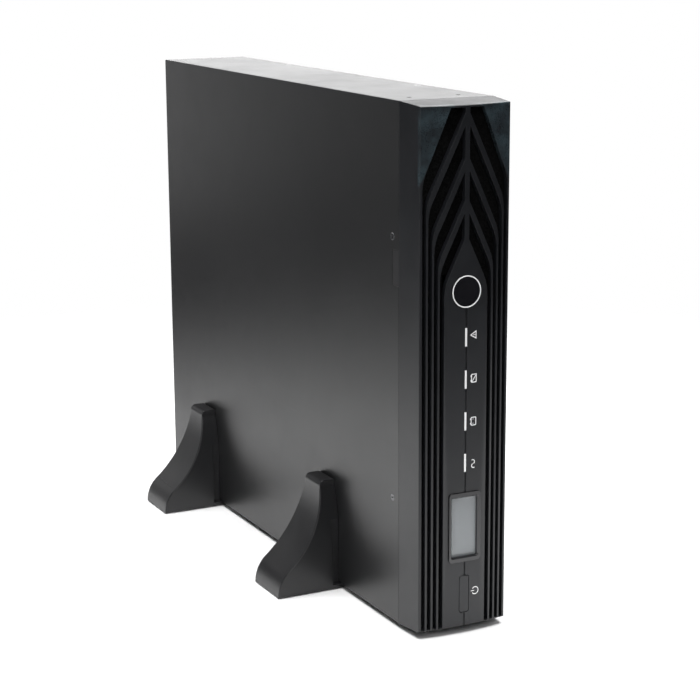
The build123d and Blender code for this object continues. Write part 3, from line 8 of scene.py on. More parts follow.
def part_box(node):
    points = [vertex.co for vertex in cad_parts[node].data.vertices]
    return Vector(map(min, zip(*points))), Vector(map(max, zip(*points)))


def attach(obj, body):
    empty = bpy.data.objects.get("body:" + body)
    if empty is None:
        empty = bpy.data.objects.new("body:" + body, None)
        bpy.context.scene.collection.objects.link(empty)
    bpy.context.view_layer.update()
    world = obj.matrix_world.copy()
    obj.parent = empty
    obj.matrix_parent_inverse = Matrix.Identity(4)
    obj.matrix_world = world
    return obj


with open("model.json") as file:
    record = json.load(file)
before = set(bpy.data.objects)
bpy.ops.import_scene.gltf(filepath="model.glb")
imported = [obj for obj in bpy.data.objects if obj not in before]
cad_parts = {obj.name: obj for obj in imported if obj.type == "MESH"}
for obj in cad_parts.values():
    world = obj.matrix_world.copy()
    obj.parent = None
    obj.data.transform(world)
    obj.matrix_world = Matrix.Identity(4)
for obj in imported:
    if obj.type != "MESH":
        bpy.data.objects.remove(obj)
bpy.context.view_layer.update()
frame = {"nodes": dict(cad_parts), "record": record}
bpy.ops.object.select_all(action="DESELECT")
nodes = frame["nodes"]

MM = 0.001


# ---------------------------------------------------------------- node helpers


def put(tree, kind, inputs=None, **settings):
    """One node, with its settings and the values or links of its inputs."""
    node = tree.nodes.new("ShaderNode" + kind)
    for name, value in settings.items():
        setattr(node, name, value)
    for label, value in (inputs or {}).items():
        socket = node.inputs[label]
        if isinstance(value, bpy.types.NodeSocket):
            tree.links.new(value, socket)
        else:
            socket.default_value = value
    return node


def new_group(name, wanted, given):
    """An empty group: wanted is its inputs with their usual values, given its outputs."""
    tree = bpy.data.node_groups.new(name, "ShaderNodeTree")
    for label, value in wanted.items():
        socket = tree.interface.new_socket(label, in_out="INPUT", socket_type="NodeSocketFloat")
        socket.default_value = value
    for label, kind in given.items():
        tree.interface.new_socket(label, in_out="OUTPUT", socket_type="NodeSocket" + kind)
    return tree, tree.nodes.new("NodeGroupInput"), tree.nodes.new("NodeGroupOutput")


def effect(tree, group_tree, values=None):
    """A group placed in a material with its own values."""
    node = tree.nodes.new("ShaderNodeGroup")
    node.node_tree = group_tree
    for label, value in (values or {}).items():
        node.inputs[label].default_value = value
    return node


def spread(tree, source, low, high, to_low=0.0, to_high=1.0):
    """The range low to high of a value, stretched to another range."""
    node = put(tree, "MapRange", {"Value": source}, clamp=True)
    node.inputs["From Min"].default_value = low
    node.inputs["From Max"].default_value = high
    node.inputs["To Min"].default_value = to_low
    node.inputs["To Max"].default_value = to_high
    return node.outputs["Result"]


def blend_colours(tree, mask, first, second):
    """A colour that goes from first to second as the mask goes from 0 to 1."""
    node = put(tree, "Mix", data_type="RGBA")
    tree.links.new(mask, node.inputs["Factor"])
    for label, colour in (("A", first), ("B", second)):
        socket = [s for s in node.inputs if s.name == label and s.type == "RGBA"][0]
        if isinstance(colour, bpy.types.NodeSocket):
            tree.links.new(colour, socket)
        else:
            socket.default_value = (*colour, 1.0)
    return [s for s in node.outputs if s.type == "RGBA"][0]


def maths(tree, operation, first, second=0.5):
    """The result of one operation on two values."""
    node = put(tree, "Math", {0: first, 1: second}, operation=operation)
    return node.outputs[0]


def noise(tree, where, scale, detail=3.0, rough=0.55):
    """Noise at a place, of a given scale and detail."""
    wanted = {"Vector": where, "Scale": scale, "Detail": detail, "Roughness": rough}
    return put(tree, "TexNoise", wanted).outputs["Fac"]


# ---------------------------------------------------------------- shared effects


def make_moulded_grain():
    """The fine sand grain of a moulded or powder-coated skin."""
    tree, enter, leave = new_group(
        "moulded_grain", {"Grain": 900.0, "Pits": 0.4}, {"Height": "Float", "Mask": "Float"}
    )
    where = put(tree, "TexCoord").outputs["Object"]
    bumps = noise(tree, where, enter.outputs["Grain"], 2.0, 0.6)
    cells = put(tree, "TexVoronoi", {"Vector": where, "Scale": enter.outputs["Grain"]})
    pits = maths(tree, "MULTIPLY", cells.outputs["Distance"], enter.outputs["Pits"])
    tree.links.new(maths(tree, "SUBTRACT", bumps, pits), leave.inputs["Height"])
    tree.links.new(spread(tree, bumps, 0.3, 0.7), leave.inputs["Mask"])
    return tree


def make_cloudiness():
    """Slow changes of tone and gloss over a large face, and hand marks on it."""
    tree, enter, leave = new_group("cloudiness", {"Spots": 9.0}, {"Tone": "Float", "Gloss": "Float"})
    where = put(tree, "TexCoord").outputs["Object"]
    slow = noise(tree, where, enter.outputs["Spots"], 4.0, 0.6)
    quick = noise(tree, where, maths(tree, "MULTIPLY", enter.outputs["Spots"], 6.0), 5.0, 0.7)
    tree.links.new(spread(tree, slow, 0.32, 0.68), leave.inputs["Tone"])
    both = maths(tree, "MULTIPLY", quick, spread(tree, slow, 0.3, 0.7, 0.5, 1.2))
    tree.links.new(spread(tree, both, 0.2, 0.7), leave.inputs["Gloss"])
    return tree


def make_worn_edges():
    """Rounds the edges in the light, and finds where handling has rubbed them."""
    tree, enter, leave = new_group(
        "worn_edges", {"Radius": 0.0005, "Reach": 3.0}, {"Normal": "Vector", "Mask": "Float"}
    )
    rounded = put(tree, "Bevel", {"Radius": enter.outputs["Radius"]}, samples=4)
    flat = put(tree, "NewGeometry").outputs["Normal"]
    likeness = put(tree, "VectorMath", operation="DOT_PRODUCT")
    tree.links.new(rounded.outputs["Normal"], likeness.inputs[0])
    tree.links.new(flat, likeness.inputs[1])
    bend = maths(tree, "SUBTRACT", 1.0, likeness.outputs["Value"])
    where = put(tree, "TexCoord").outputs["Object"]
    patchy = spread(tree, noise(tree, where, 130.0, 4.0, 0.7), 0.42, 0.62)
    reach = maths(tree, "MULTIPLY", bend, enter.outputs["Reach"])
    rubbed = put(tree, "Math", {0: reach, 1: patchy}, operation="MULTIPLY", use_clamp=True)
    tree.links.new(rubbed.outputs[0], leave.inputs["Mask"])
    tree.links.new(rounded.outputs["Normal"], leave.inputs["Normal"])
    return tree


def make_settled_dust():
    """Light dust on what faces up, thicker in patches, with single specks."""
    tree, enter, leave = new_group("settled_dust", {"Amount": 0.3}, {"Mask": "Float"})
    facing = put(tree, "SeparateXYZ", {"Vector": put(tree, "NewGeometry").outputs["Normal"]})
    level = spread(tree, facing.outputs["Z"], 0.35, 0.95)
    where = put(tree, "TexCoord").outputs["Object"]
    film = spread(tree, noise(tree, where, 35.0, 5.0, 0.7), 0.35, 0.8)
    specks = spread(tree, noise(tree, where, 900.0, 1.0, 0.5), 0.7, 0.78)
    film = maths(tree, "ADD", maths(tree, "MULTIPLY", film, 0.6), specks)
    lying = maths(tree, "MULTIPLY", film, level)
    mask = put(tree, "Math", {0: lying, 1: enter.outputs["Amount"]}, operation="MULTIPLY", use_clamp=True)
    tree.links.new(mask.outputs[0], leave.inputs["Mask"])
    return tree


def make_hair_scratches():
    """Fine straight scratches along two directions."""
    tree, enter, leave = new_group("hair_scratches", {"Amount": 0.5}, {"Mask": "Float"})
    where = put(tree, "TexCoord").outputs["Object"]
    turned = []
    for turn in ((0.35, 0.2, 0.9), (-0.5, 0.75, -0.3)):
        line = put(tree, "Mapping", {"Vector": where, "Rotation": turn, "Scale": (700.0, 9.0, 700.0)})
        streak = noise(tree, line.outputs["Vector"], 1.0, 2.0, 0.5)
        turned.append(spread(tree, streak, 0.68, 0.76))
    where_seen = spread(tree, noise(tree, where, 14.0, 2.0, 0.5), 0.45, 0.65)
    lines = maths(tree, "MULTIPLY", maths(tree, "MAXIMUM", turned[0], turned[1]), where_seen)
    tree.links.new(maths(tree, "MULTIPLY", lines, enter.outputs["Amount"]), leave.inputs["Mask"])
    return tree


moulded_grain = make_moulded_grain()
cloudiness = make_cloudiness()
worn_edges = make_worn_edges()
settled_dust = make_settled_dust()
hair_scratches = make_hair_scratches()


# ---------------------------------------------------------------- finishes

DUST_TONE = (0.30, 0.29, 0.27)
RUBBED_GAIN = 2.2
RUBBED_LIFT = 0.02
BUMP_DEPTH = 0.4 * MM


def start_finish(name):
    """A new material with only its Principled BSDF in it."""
    finish = bpy.data.materials.new(name)
    finish.use_nodes = True
    tree = finish.node_tree
    shader = next(n for n in tree.nodes if n.type == "BSDF_PRINCIPLED")
    return finish, tree, shader


def dress(
    name,
    deep,
    pale,
    gloss,
    grain=900.0,
    relief=0.06,
    worn=None,
    reach=3.0,
    dust=0.15,
    metal=0.0,
    radius=0.0005,
    scratch=0.3,
    pits=0.4,
    spots=9.0,
    pattern=None,
    coat=0.0,
    coat_rough=0.1,
    specular=0.5,
):
    """A finish with grain, slow cloudiness, rounded and rubbed edges, scratches and dust.
    deep and pale are the ends of its tone, and gloss the ends of its roughness.
    pattern changes the colour, the height and the roughness in its own way."""
    finish, tree, shader = start_finish(name)
    skin = effect(tree, moulded_grain, {"Grain": grain, "Pits": pits})
    cloud = effect(tree, cloudiness, {"Spots": spots})
    edge = effect(tree, worn_edges, {"Radius": radius, "Reach": reach})
    film = effect(tree, settled_dust, {"Amount": dust})
    marks = effect(tree, hair_scratches, {"Amount": scratch})
    colour = blend_colours(tree, cloud.outputs["Tone"], deep, pale)
    height = skin.outputs["Height"]
    base = spread(tree, cloud.outputs["Gloss"], 0.0, 1.0, gloss[0], gloss[1])
    if pattern:
        colour, height, base = pattern(tree, colour, height, base)
    rubbed_tone = worn or [min(1, part * RUBBED_GAIN + RUBBED_LIFT) for part in pale]
    colour = blend_colours(tree, edge.outputs["Mask"], colour, rubbed_tone)
    colour = blend_colours(tree, film.outputs["Mask"], colour, DUST_TONE)
    tree.links.new(colour, shader.inputs["Base Color"])
    fine = spread(tree, skin.outputs["Mask"], 0.0, 1.0, -0.03, 0.03)
    rough = maths(tree, "ADD", base, fine)
    rough = maths(tree, "SUBTRACT", rough, maths(tree, "MULTIPLY", marks.outputs["Mask"], 0.25))
    dulled = maths(tree, "MULTIPLY", film.outputs["Mask"], 0.5)
    rough = put(tree, "Math", {0: rough, 1: dulled}, operation="ADD", use_clamp=True)
    tree.links.new(rough.outputs[0], shader.inputs["Roughness"])
    shader.inputs["Metallic"].default_value = metal
    shader.inputs["Coat Weight"].default_value = coat
    shader.inputs["Coat Roughness"].default_value = coat_rough
    shader.inputs["Specular IOR Level"].default_value = specular
    surface = maths(tree, "SUBTRACT", height, maths(tree, "MULTIPLY", marks.outputs["Mask"], 0.4))
    raised = {"Strength": relief, "Distance": BUMP_DEPTH, "Height": surface, "Normal": edge.outputs["Normal"]}
    bump = put(tree, "Bump", raised)
    tree.links.new(bump.outputs["Normal"], shader.inputs["Normal"])
    return finish


def stripes(axis, pitch, dark, strength=1.0, lift=1.0):
    """A pattern of fine bands across one axis, as on laminations, windings and ribbon cable.
    The bands repeat at about 0.63 of the pitch, because of the wave texture's own scale."""

    def add(tree, colour, height, base):
        where = put(tree, "TexCoord").outputs["Object"]
        wanted = {"Vector": where, "Scale": 0.5 / pitch, "Distortion": 0.0}
        wave = put(tree, "TexWave", wanted, bands_direction=axis)
        band = spread(tree, wave.outputs["Fac"], 0.35, 0.65)
        bare = spread(tree, band, 0.0, 1.0, 1.0 - strength, 1.0)
        banded = blend_colours(tree, bare, dark, colour)
        return banded, maths(tree, "ADD", height, maths(tree, "MULTIPLY", band, lift)), base

    return add


def circuit_tracks(tree, colour, height, base):
    """Copper tracks under the solder mask, with tinned pads."""
    where = put(tree, "TexCoord").outputs["Object"]
    grid = put(tree, "TexBrick", {"Vector": where, "Scale": 140.0, "Mortar Size": 0.06}, offset=0.5)
    tracks = grid.outputs["Fac"]
    cells = put(tree, "TexVoronoi", {"Vector": where, "Scale": 210.0, "Randomness": 0.2})
    pads = spread(tree, cells.outputs["Distance"], 0.16, 0.2, 1.0, 0.0)
    few = spread(tree, noise(tree, where, 60.0, 2.0), 0.5, 0.54)
    pads = maths(tree, "MULTIPLY", pads, few)
    colour = blend_colours(tree, maths(tree, "MULTIPLY", tracks, 0.6), colour, (0.10, 0.36, 0.17))
    colour = blend_colours(tree, pads, colour, (0.62, 0.62, 0.60))
    raised = maths(tree, "MULTIPLY", maths(tree, "MAXIMUM", tracks, pads), 0.8)
    return colour, maths(tree, "ADD", height, raised), base


def zinc_spangle(tree, colour, height, base):
    """The crystal pattern of zinc plating."""
    where = put(tree, "TexCoord").outputs["Object"]
    cells = put(tree, "TexVoronoi", {"Vector": where, "Scale": 160.0})
    tone = put(tree, "SeparateColor", {"Color": cells.outputs["Color"]})
    shade = spread(tree, tone.outputs[0], 0.0, 1.0, 0.0, 0.35)
    return blend_colours(tree, shade, colour, (0.36, 0.37, 0.40)), height, base


def foam_pores_painted_shade(tree, colour, height, base):
    """Open foam: round cells painted near black as painted shade in the pores, between thin lighter walls."""
    where = put(tree, "TexCoord").outputs["Object"]
    cells = put(tree, "TexVoronoi", {"Vector": where, "Scale": 520.0})
    walls = spread(tree, cells.outputs["Distance"], 0.2, 0.75)
    # The pores' near-black colour is painted shade.
    return blend_colours(tree, walls, (0.001, 0.001, 0.001), colour), maths(tree, "ADD", height, walls), base


def display_segments(tree, colour, height, base):
    """An unlit display: a fine dot grid under the glass."""
    where = put(tree, "TexCoord").outputs["Object"]
    upright = put(tree, "Mapping", {"Vector": where, "Rotation": (math.radians(90), 0, 0)})
    wanted = {"Vector": upright.outputs[0], "Scale": 1400.0, "Mortar Size": 0.05}
    grid = put(tree, "TexBrick", wanted, offset=0.0)
    lines = maths(tree, "MULTIPLY", grid.outputs["Fac"], 0.25)
    return blend_colours(tree, lines, colour, (0.20, 0.22, 0.23)), height, base


bezel_low, bezel_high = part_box("bezel")
CORNER_DROP = 58 * MM
CORNER_REACH = 28 * MM
CORNER_DEPTH = 6 * MM
CORNER_FADE = 1 * MM


def glossy_corners_painted_sheen(tree, colour, height, base):
    """The smoother three-sided panels at the bezel's two top corners, made glossier, with a painted sheen:
    their colour lifted to a faint bluish grey in patches.
    """
    where = put(tree, "TexCoord").outputs["Object"]
    place = put(tree, "SeparateXYZ", {"Vector": where})
    aside = maths(tree, "ABSOLUTE", place.outputs["X"])
    out = maths(tree, "SUBTRACT", aside, bezel_high.x)
    up = maths(tree, "SUBTRACT", place.outputs["Z"], bezel_high.z - CORNER_DROP)
    across, along = maths(tree, "DIVIDE", out, CORNER_REACH), maths(tree, "DIVIDE", up, CORNER_DROP)
    sloped = maths(tree, "ADD", across, along)
    behind = bezel_low.y + CORNER_DEPTH
    facing = spread(tree, place.outputs["Y"], behind, behind + CORNER_FADE, 1.0, 0.0)
    corner = maths(tree, "MULTIPLY", spread(tree, sloped, -0.2, -0.17), facing)
    sheen_patches = spread(tree, noise(tree, where, 55.0, 4.0, 0.65), 0.35, 0.7)
    painted_sheen = maths(tree, "MULTIPLY", corner, sheen_patches)
    # Painted sheen: the corners' colour is lifted to a light bluish grey in patches, standing in for their
    # glossier reflection.
    colour = blend_colours(tree, painted_sheen, colour, (0.034, 0.050, 0.058))
    base = maths(tree, "SUBTRACT", base, maths(tree, "MULTIPLY", corner, 0.06))
    return colour, height, base


FINISHES = {
    "sheet_black": dict(
        deep=(0.0075, 0.0077, 0.0083), pale=(0.0105, 0.0107, 0.0115), gloss=(0.33, 0.39), grain=1500.0,
        relief=0.08, worn=(0.05, 0.05, 0.053), reach=1.2, dust=0.04, spots=4.0, scratch=0.25,
        radius=0.0006,
    ),
    "bezel_black": dict(
        deep=(0.007, 0.0075, 0.009), pale=(0.011, 0.0118, 0.014), gloss=(0.32, 0.39), grain=1100.0,
        relief=0.14, worn=(0.05, 0.052, 0.057), reach=1.8, dust=0.04, spots=12.0, scratch=0.15,
        radius=0.0004, pattern=glossy_corners_painted_sheen,
    ),
    "latch_grey": dict(
        deep=(0.013, 0.013, 0.014), pale=(0.019, 0.019, 0.021), gloss=(0.34, 0.42), grain=1100.0,
        relief=0.12, dust=0.04, worn=(0.08, 0.08, 0.085), reach=2.5,
    ),
    "gloss_black": dict(
        deep=(0.006, 0.006, 0.007), pale=(0.010, 0.010, 0.012), gloss=(0.10, 0.17), grain=500.0,
        relief=0.012, dust=0.05, scratch=0.5, coat=0.4, coat_rough=0.05,
    ),
    "black_plastic": dict(
        deep=(0.007, 0.007, 0.0078), pale=(0.012, 0.012, 0.013), gloss=(0.30, 0.38), grain=1000.0,
        relief=0.10, worn=(0.05, 0.05, 0.054), reach=1.6, dust=0.05, radius=0.0007,
    ),
    "battery_case": dict(
        deep=(0.075, 0.075, 0.082), pale=(0.115, 0.115, 0.125), gloss=(0.48, 0.6), grain=700.0, relief=0.2,
        dust=0.1, spots=14.0,
    ),
    "pad_rubber": dict(
        deep=(0.018, 0.018, 0.018), pale=(0.035, 0.034, 0.033), gloss=(0.72, 0.86), grain=1600.0,
        relief=0.3, dust=0.3,
    ),
    "screw_black": dict(
        deep=(0.10, 0.10, 0.105), pale=(0.20, 0.20, 0.21), gloss=(0.2, 0.32), grain=1800.0, relief=0.25,
        worn=(0.55, 0.55, 0.56), metal=1.0, radius=0.0003, dust=0.03,
    ),
    "zinc": dict(
        deep=(0.50, 0.51, 0.53), pale=(0.66, 0.67, 0.69), gloss=(0.26, 0.4), grain=1500.0, relief=0.05,
        worn=(0.80, 0.81, 0.82), metal=1.0, radius=0.0003, dust=0.06, pattern=zinc_spangle, scratch=0.6,
    ),
    "tin": dict(
        deep=(0.62, 0.62, 0.62), pale=(0.76, 0.76, 0.75), gloss=(0.2, 0.36), grain=1500.0, relief=0.06,
        metal=1.0, radius=0.0002,
    ),
    "brass": dict(
        deep=(0.62, 0.44, 0.17), pale=(0.78, 0.60, 0.27), gloss=(0.22, 0.38), grain=1500.0, relief=0.06,
        metal=1.0, worn=(0.90, 0.76, 0.45), radius=0.0002,
    ),
    "aluminium": dict(
        deep=(0.66, 0.67, 0.69), pale=(0.80, 0.81, 0.82), gloss=(0.28, 0.44), grain=1300.0, relief=0.06,
        metal=1.0, radius=0.0002, scratch=0.8,
        pattern=stripes("Y", 0.0006, (0.55, 0.56, 0.58), 0.25, lift=0.3),
    ),
    "copper": dict(
        deep=(0.40, 0.13, 0.05), pale=(0.62, 0.25, 0.11), gloss=(0.22, 0.36), grain=1300.0, relief=0.35,
        metal=0.85, radius=0.0003, dust=0.04,
        pattern=stripes("Z", 0.0009, (0.14, 0.04, 0.02), 1.0, lift=1.6),
    ),
    "core_iron": dict(
        deep=(0.10, 0.095, 0.09), pale=(0.17, 0.16, 0.155), gloss=(0.45, 0.62), grain=1300.0, relief=0.3,
        metal=0.7, worn=(0.35, 0.34, 0.33), radius=0.0003,
        pattern=stripes("Y", 0.0010, (0.04, 0.04, 0.04), 0.8, lift=1.2),
    ),
    "capacitor": dict(
        deep=(0.018, 0.022, 0.070), pale=(0.030, 0.036, 0.105), gloss=(0.2, 0.3), grain=500.0, relief=0.04,
        dust=0.06, coat=0.2,
    ),
    "relay": dict(
        deep=(0.035, 0.06, 0.19), pale=(0.05, 0.085, 0.25), gloss=(0.34, 0.46), grain=900.0, relief=0.12,
    ),
    "connector": dict(
        deep=(0.58, 0.56, 0.49), pale=(0.72, 0.70, 0.63), gloss=(0.4, 0.52), grain=700.0, relief=0.1,
    ),
    "strip": dict(
        deep=(0.66, 0.66, 0.63), pale=(0.78, 0.78, 0.75), gloss=(0.38, 0.5), grain=900.0, relief=0.1,
        dust=0.15,
    ),
    "wire_red": dict(
        deep=(0.30, 0.012, 0.012), pale=(0.44, 0.022, 0.018), gloss=(0.3, 0.42), grain=700.0, relief=0.05,
    ),
    "wire_brown": dict(
        deep=(0.12, 0.05, 0.022), pale=(0.19, 0.08, 0.036), gloss=(0.3, 0.42), grain=700.0, relief=0.05,
    ),
    "ribbon_grey": dict(
        deep=(0.36, 0.37, 0.39), pale=(0.46, 0.47, 0.49), gloss=(0.4, 0.52), grain=900.0, relief=0.3,
        pattern=stripes("Z", 0.00127, (0.20, 0.21, 0.22), 1.0, lift=1.2),
    ),
    "board_green": dict(
        deep=(0.010, 0.085, 0.035), pale=(0.018, 0.125, 0.055), gloss=(0.24, 0.34), grain=900.0,
        relief=0.25, worn=(0.35, 0.42, 0.25), pattern=circuit_tracks, radius=0.0002,
    ),
    # The foam sheet behind the louvres stands in for the dark inside of the bezel: its near-black colour is
    # painted shade.
    "foam": dict(
        deep=(0.0025, 0.0025, 0.0025), pale=(0.005, 0.005, 0.005), gloss=(0.88, 0.97), grain=900.0,
        relief=0.8, worn=(0.006, 0.006, 0.006), pattern=foam_pores_painted_shade, dust=0.02, specular=0.1,
    ),
    "white_print": dict(
        deep=(0.88, 0.88, 0.88), pale=(0.94, 0.94, 0.94), gloss=(0.4, 0.52), grain=1600.0, relief=0.08,
        worn=(0.6, 0.6, 0.6), dust=0.05, radius=0.0001,
    ),
    "light_pipe": dict(
        deep=(0.88, 0.88, 0.88), pale=(0.94, 0.94, 0.94), gloss=(0.22, 0.32), grain=700.0, relief=0.03,
        worn=(0.9, 0.9, 0.9), dust=0.03, radius=0.0001,
    ),
    "lcd_panel": dict(
        deep=(0.36, 0.385, 0.40), pale=(0.43, 0.455, 0.47), gloss=(0.34, 0.42), grain=600.0, relief=0.02,
        worn=(0.3, 0.3, 0.3), pattern=display_segments, dust=0.0, scratch=0.0,
    ),
}
finishes = {name: dress(name, **values) for name, values in FINISHES.items()}


def make_lens():
    """The clear window over the display, with a hard coat and a few smears."""
    finish, tree, shader = start_finish("lcd_glass")
    cloud = effect(tree, cloudiness, {"Spots": 40.0})
    marks = effect(tree, hair_scratches, {"Amount": 0.6})
    smear = spread(tree, cloud.outputs["Gloss"], 0.2, 1.0, 0.04, 0.14)
    rough = maths(tree, "ADD", smear, maths(tree, "MULTIPLY", marks.outputs["Mask"], 0.2))
    colour = blend_colours(tree, cloud.outputs["Tone"], (0.55, 0.57, 0.58), (0.62, 0.64, 0.66))
    tree.links.new(rough, shader.inputs["Roughness"])
    tree.links.new(colour, shader.inputs["Base Color"])
    rim = put(tree, "LayerWeight", {"Blend": 0.25}).outputs["Fresnel"]
    tree.links.new(spread(tree, rim, 0.0, 1.0, 0.14, 0.8), shader.inputs["Alpha"])
    return finish


finishes["lcd_glass"] = make_lens()

for subpart in frame["record"]["subparts"]:
    part_object = nodes[subpart["node"]]
    for holder in part_object.material_slots:
        holder.material = finishes[subpart["material_slot"]]


# ---------------------------------------------------------------- printed marks

INK_W = 0.75 * MM
INK_T = 0.35 * MM
INK_PROUD = 0.06 * MM
CORNER_R = 1.1 * MM
ARC_STEP = 9
BOW_R = 229 * MM
MARK_X = 7.6 * MM
POWER_X = 10.7 * MM
POWER_UP = 1.2 * MM
PIPE_HALF = 7.5 * MM


def pick_up(piece):
    """Selects one object alone and makes it active."""
    bpy.ops.object.select_all(action="DESELECT")
    piece.select_set(True)
    bpy.context.view_layer.objects.active = piece


def start_edit():
    """Enters edit mode with every face selected."""
    bpy.ops.object.mode_set(mode="EDIT")
    bpy.ops.mesh.select_mode(type="FACE")
    bpy.ops.mesh.select_all(action="SELECT")


def raise_ink():
    """Gives a flat mark its thickness and leaves edit mode."""
    bpy.ops.mesh.select_all(action="SELECT")
    bpy.ops.mesh.extrude_region_move(TRANSFORM_OT_translate={"value": (0, 0, INK_T)})
    bpy.ops.mesh.select_all(action="SELECT")
    bpy.ops.mesh.normals_make_consistent(inside=False)
    bpy.ops.object.mode_set(mode="OBJECT")
    return bpy.context.object


def ink_bar(u, v, wide, tall, turn=0.0):
    """A straight stroke, in millimetres from the mark's middle."""
    bpy.ops.mesh.primitive_plane_add(size=1, location=(u * MM, v * MM, 0), rotation=(0, 0, turn))
    bpy.context.object.scale = (wide * MM, tall * MM, 1)
    bpy.ops.object.transform_apply(location=True, rotation=True, scale=True)
    start_edit()
    return raise_ink()


def ink_outline(corners, wide, tall, turn):
    """A closed outline: a flat shape whose middle is cut out."""
    bpy.ops.mesh.primitive_circle_add(vertices=corners, radius=1, fill_type="NGON", rotation=(0, 0, turn))
    bpy.ops.object.transform_apply(location=False, rotation=True, scale=False)
    bpy.context.object.scale = (wide * MM, tall * MM, 1)
    bpy.ops.object.transform_apply(location=False, rotation=False, scale=True)
    start_edit()
    if corners == 4:
        bpy.ops.mesh.bevel(offset=CORNER_R, segments=4, affect="VERTICES")
        bpy.ops.mesh.select_all(action="SELECT")
    bpy.ops.mesh.inset(thickness=INK_W, depth=0)
    bpy.ops.mesh.delete(type="FACE")
    return raise_ink()


def ink_arc(u, v, radius, start, sweep):
    """A curved stroke: a small section spun about the arc's middle, anticlockwise for a positive sweep."""
    middle = Vector((u * MM, v * MM, 0))
    place = middle + Vector((radius * MM * math.cos(start), radius * MM * math.sin(start), INK_T / 2))
    bpy.ops.mesh.primitive_plane_add(size=1, location=place, rotation=(math.radians(90), 0, start))
    bpy.context.object.scale = (INK_W, INK_T, 1)
    bpy.ops.object.transform_apply(location=True, rotation=True, scale=True)
    start_edit()
    steps = max(8, int(abs(math.degrees(sweep)) / ARC_STEP))
    bpy.ops.mesh.spin(steps=steps, angle=-sweep, center=middle, axis=(0, 0, 1))
    bpy.ops.mesh.select_all(action="SELECT")
    bpy.ops.mesh.normals_make_consistent(inside=False)
    bpy.ops.object.mode_set(mode="OBJECT")
    return bpy.context.object


def put_mark(name, strokes, x, z):
    """Joins a mark's strokes and lays it on the bowed face of the bezel."""
    pick_up(strokes[0])
    for stroke in strokes[1:]:
        stroke.select_set(True)
    if len(strokes) > 1:
        bpy.ops.object.join()
    mark = bpy.context.object
    mark.name = name
    face_y = bezel_low.y + x * x / (2 * BOW_R)
    mark.rotation_euler = (math.radians(90), 0, x / BOW_R)
    mark.location = (x, face_y - INK_PROUD + INK_T, z)
    bpy.ops.object.transform_apply(location=True, rotation=True, scale=True)
    mark.data.materials.append(finishes["white_print"])
    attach(mark, "bezel")
    return mark


pipe_low, pipe_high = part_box("light_pipes")
pipe_pitch = (pipe_high.z - pipe_low.z - 2 * PIPE_HALF) / 3
mains_z, battery_z, no_battery_z, fault_z = [pipe_low.z + PIPE_HALF + i * pipe_pitch for i in range(4)]


def battery_strokes():
    """The outline of a battery with its two posts."""
    cell = ink_outline(4, 3.7, 5.2, math.radians(45))
    posts = [ink_bar(-2.85, v, 0.7, 1.4) for v in (-1.9, 1.9)]
    return [cell] + posts


put_mark(
    "mark_fault",
    [
        ink_outline(3, 4.1, 4.1, math.radians(90)),
        ink_bar(0.1, 0, 1.9, 0.6),
        ink_bar(1.6, 0, 0.5, 0.6),
    ],
    MARK_X,
    fault_z,
)
put_mark(
    "mark_no_battery",
    battery_strokes() + [ink_bar(0.2, 0, 8.6, 0.7, math.radians(55))],
    MARK_X,
    no_battery_z,
)
put_mark(
    "mark_battery",
    battery_strokes() + [ink_bar(-0.5, 1.8, 0.9, 0.55), ink_bar(-0.5, -1.8, 0.9, 0.55)],
    MARK_X,
    battery_z,
)
put_mark(
    "mark_mains",
    [
        ink_arc(-0.35, 1.65, 1.75, math.radians(125), math.radians(-190)),
        ink_arc(0.35, -1.65, 1.75, math.radians(115), math.radians(190)),
    ],
    MARK_X,
    mains_z,
)
button_low, button_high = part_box("power_button")
put_mark(
    "mark_power",
    [
        ink_arc(0, 0, 3.1, math.radians(215), math.radians(290)),
        ink_bar(-2.5, 0, 3.2, 0.62),
    ],
    POWER_X,
    (button_low.z + button_high.z) / 2 + POWER_UP,
)


# ---------------------------------------------------------------- floor, light and camera

FLOOR_R = 3.0
FLOOR_FADE = (0.42, 1.15)
FLOOR_DROP = 0.3 * MM

floor_at = (0, 0, -FLOOR_DROP)
bpy.ops.mesh.primitive_circle_add(vertices=128, radius=FLOOR_R, fill_type="NGON", location=floor_at)
studio_floor = bpy.context.object
studio_floor.name = "studio_floor"


def make_floor_paint():
    """White paper, which fades out far from the part."""
    finish, tree, shader = start_finish("floor_paper")
    where = put(tree, "TexCoord").outputs["Object"]
    tone = spread(tree, noise(tree, where, 60.0, 4.0), 0.3, 0.7)
    colour = blend_colours(tree, tone, (0.86, 0.86, 0.86), (0.9, 0.9, 0.9))
    tree.links.new(colour, shader.inputs["Base Color"])
    shader.inputs["Roughness"].default_value = 0.7
    reach = put(tree, "VectorMath", {0: where}, operation="LENGTH").outputs["Value"]
    tree.links.new(spread(tree, reach, *FLOOR_FADE, 1.0, 0.0), shader.inputs["Alpha"])
    return finish


studio_floor.data.materials.append(make_floor_paint())


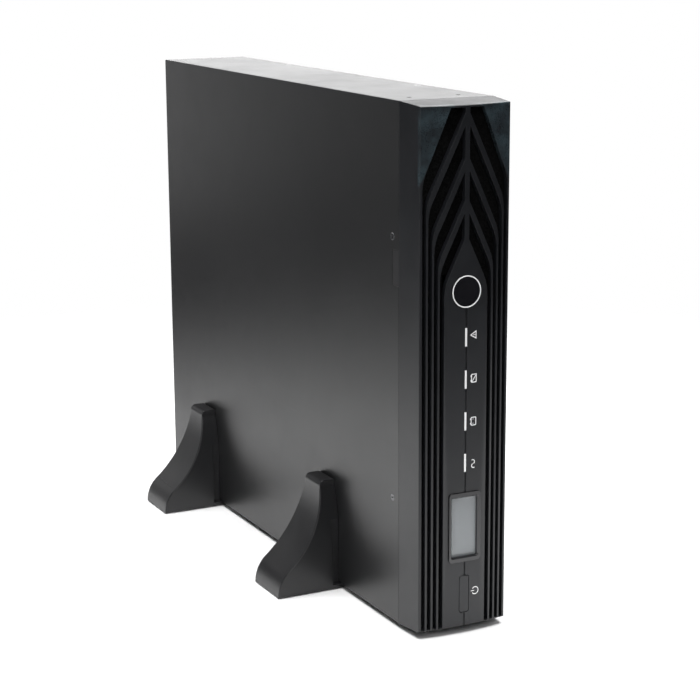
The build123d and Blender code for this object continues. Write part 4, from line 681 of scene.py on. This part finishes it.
def softbox(name, place, aim, width, height, power):
    """A rectangular area light, which the camera doesn't see."""
    light = bpy.data.lights.new(name, "AREA")
    light.shape = "RECTANGLE"
    light.size = width
    light.size_y = height
    light.energy = power
    lamp = bpy.data.objects.new(name, light)
    bpy.context.scene.collection.objects.link(lamp)
    lamp.location = place
    lamp.rotation_euler = (Vector(aim) - Vector(place)).to_track_quat("-Z", "Y").to_euler()
    lamp.visible_camera = False
    return lamp


softbox("overhead_light", (0.0, -0.15, 1.9), (0, -0.15, 0), 1.8, 1.8, 95)
softbox("rear_light", (1.25, 2.1, 0.75), (0, 0, 0.25), 1.6, 0.9, 14)
softbox("rear_left_light", (-0.55, 2.5, 0.45), (0, 0, 0.25), 0.9, 1.1, 2.8)
softbox("front_light", (-0.9, -2.0, 1.5), (0, 0, 0.2), 1.0, 1.0, 12)
softbox("edge_light", (-2.2, -1.5, 0.55), (0, -0.1, 0.25), 0.18, 1.3, 7)

world = bpy.data.worlds.new("studio")
bpy.context.scene.world = world
world.use_nodes = True
sky = world.node_tree
sky.nodes.clear()
glow = put(sky, "Background", {"Color": (0.025, 0.025, 0.028, 1.0), "Strength": 1.0})
paper = put(sky, "Background", {"Color": (1.0, 1.0, 1.0, 1.0), "Strength": 1.0})
seen = put(sky, "LightPath").outputs["Is Camera Ray"]
choose = put(sky, "MixShader", {0: seen, 1: glow.outputs[0], 2: paper.outputs[0]})
put(sky, "OutputWorld", {"Surface": choose.outputs[0]})

bpy.context.scene.view_settings.view_transform = "Standard"

CAMERA_AT = (-0.7454, -1.5496, 0.5834)
CAMERA_LENS = 96.46
YAW, PITCH, ROLL = math.radians(-26.67), math.radians(13.0), math.radians(-0.31)

camera_data = bpy.data.cameras.new("camera")
camera_data.lens = CAMERA_LENS
camera_data.sensor_width = 36
camera_data.clip_start = 0.05
camera = bpy.data.objects.new("camera", camera_data)
bpy.context.scene.collection.objects.link(camera)
camera.matrix_world = (
    Matrix.Translation(CAMERA_AT)
    @ Matrix.Rotation(YAW, 4, "Z")
    @ Matrix.Rotation(math.radians(90) - PITCH, 4, "X")
    @ Matrix.Rotation(ROLL, 4, "Z")
)
bpy.context.scene.camera = camera
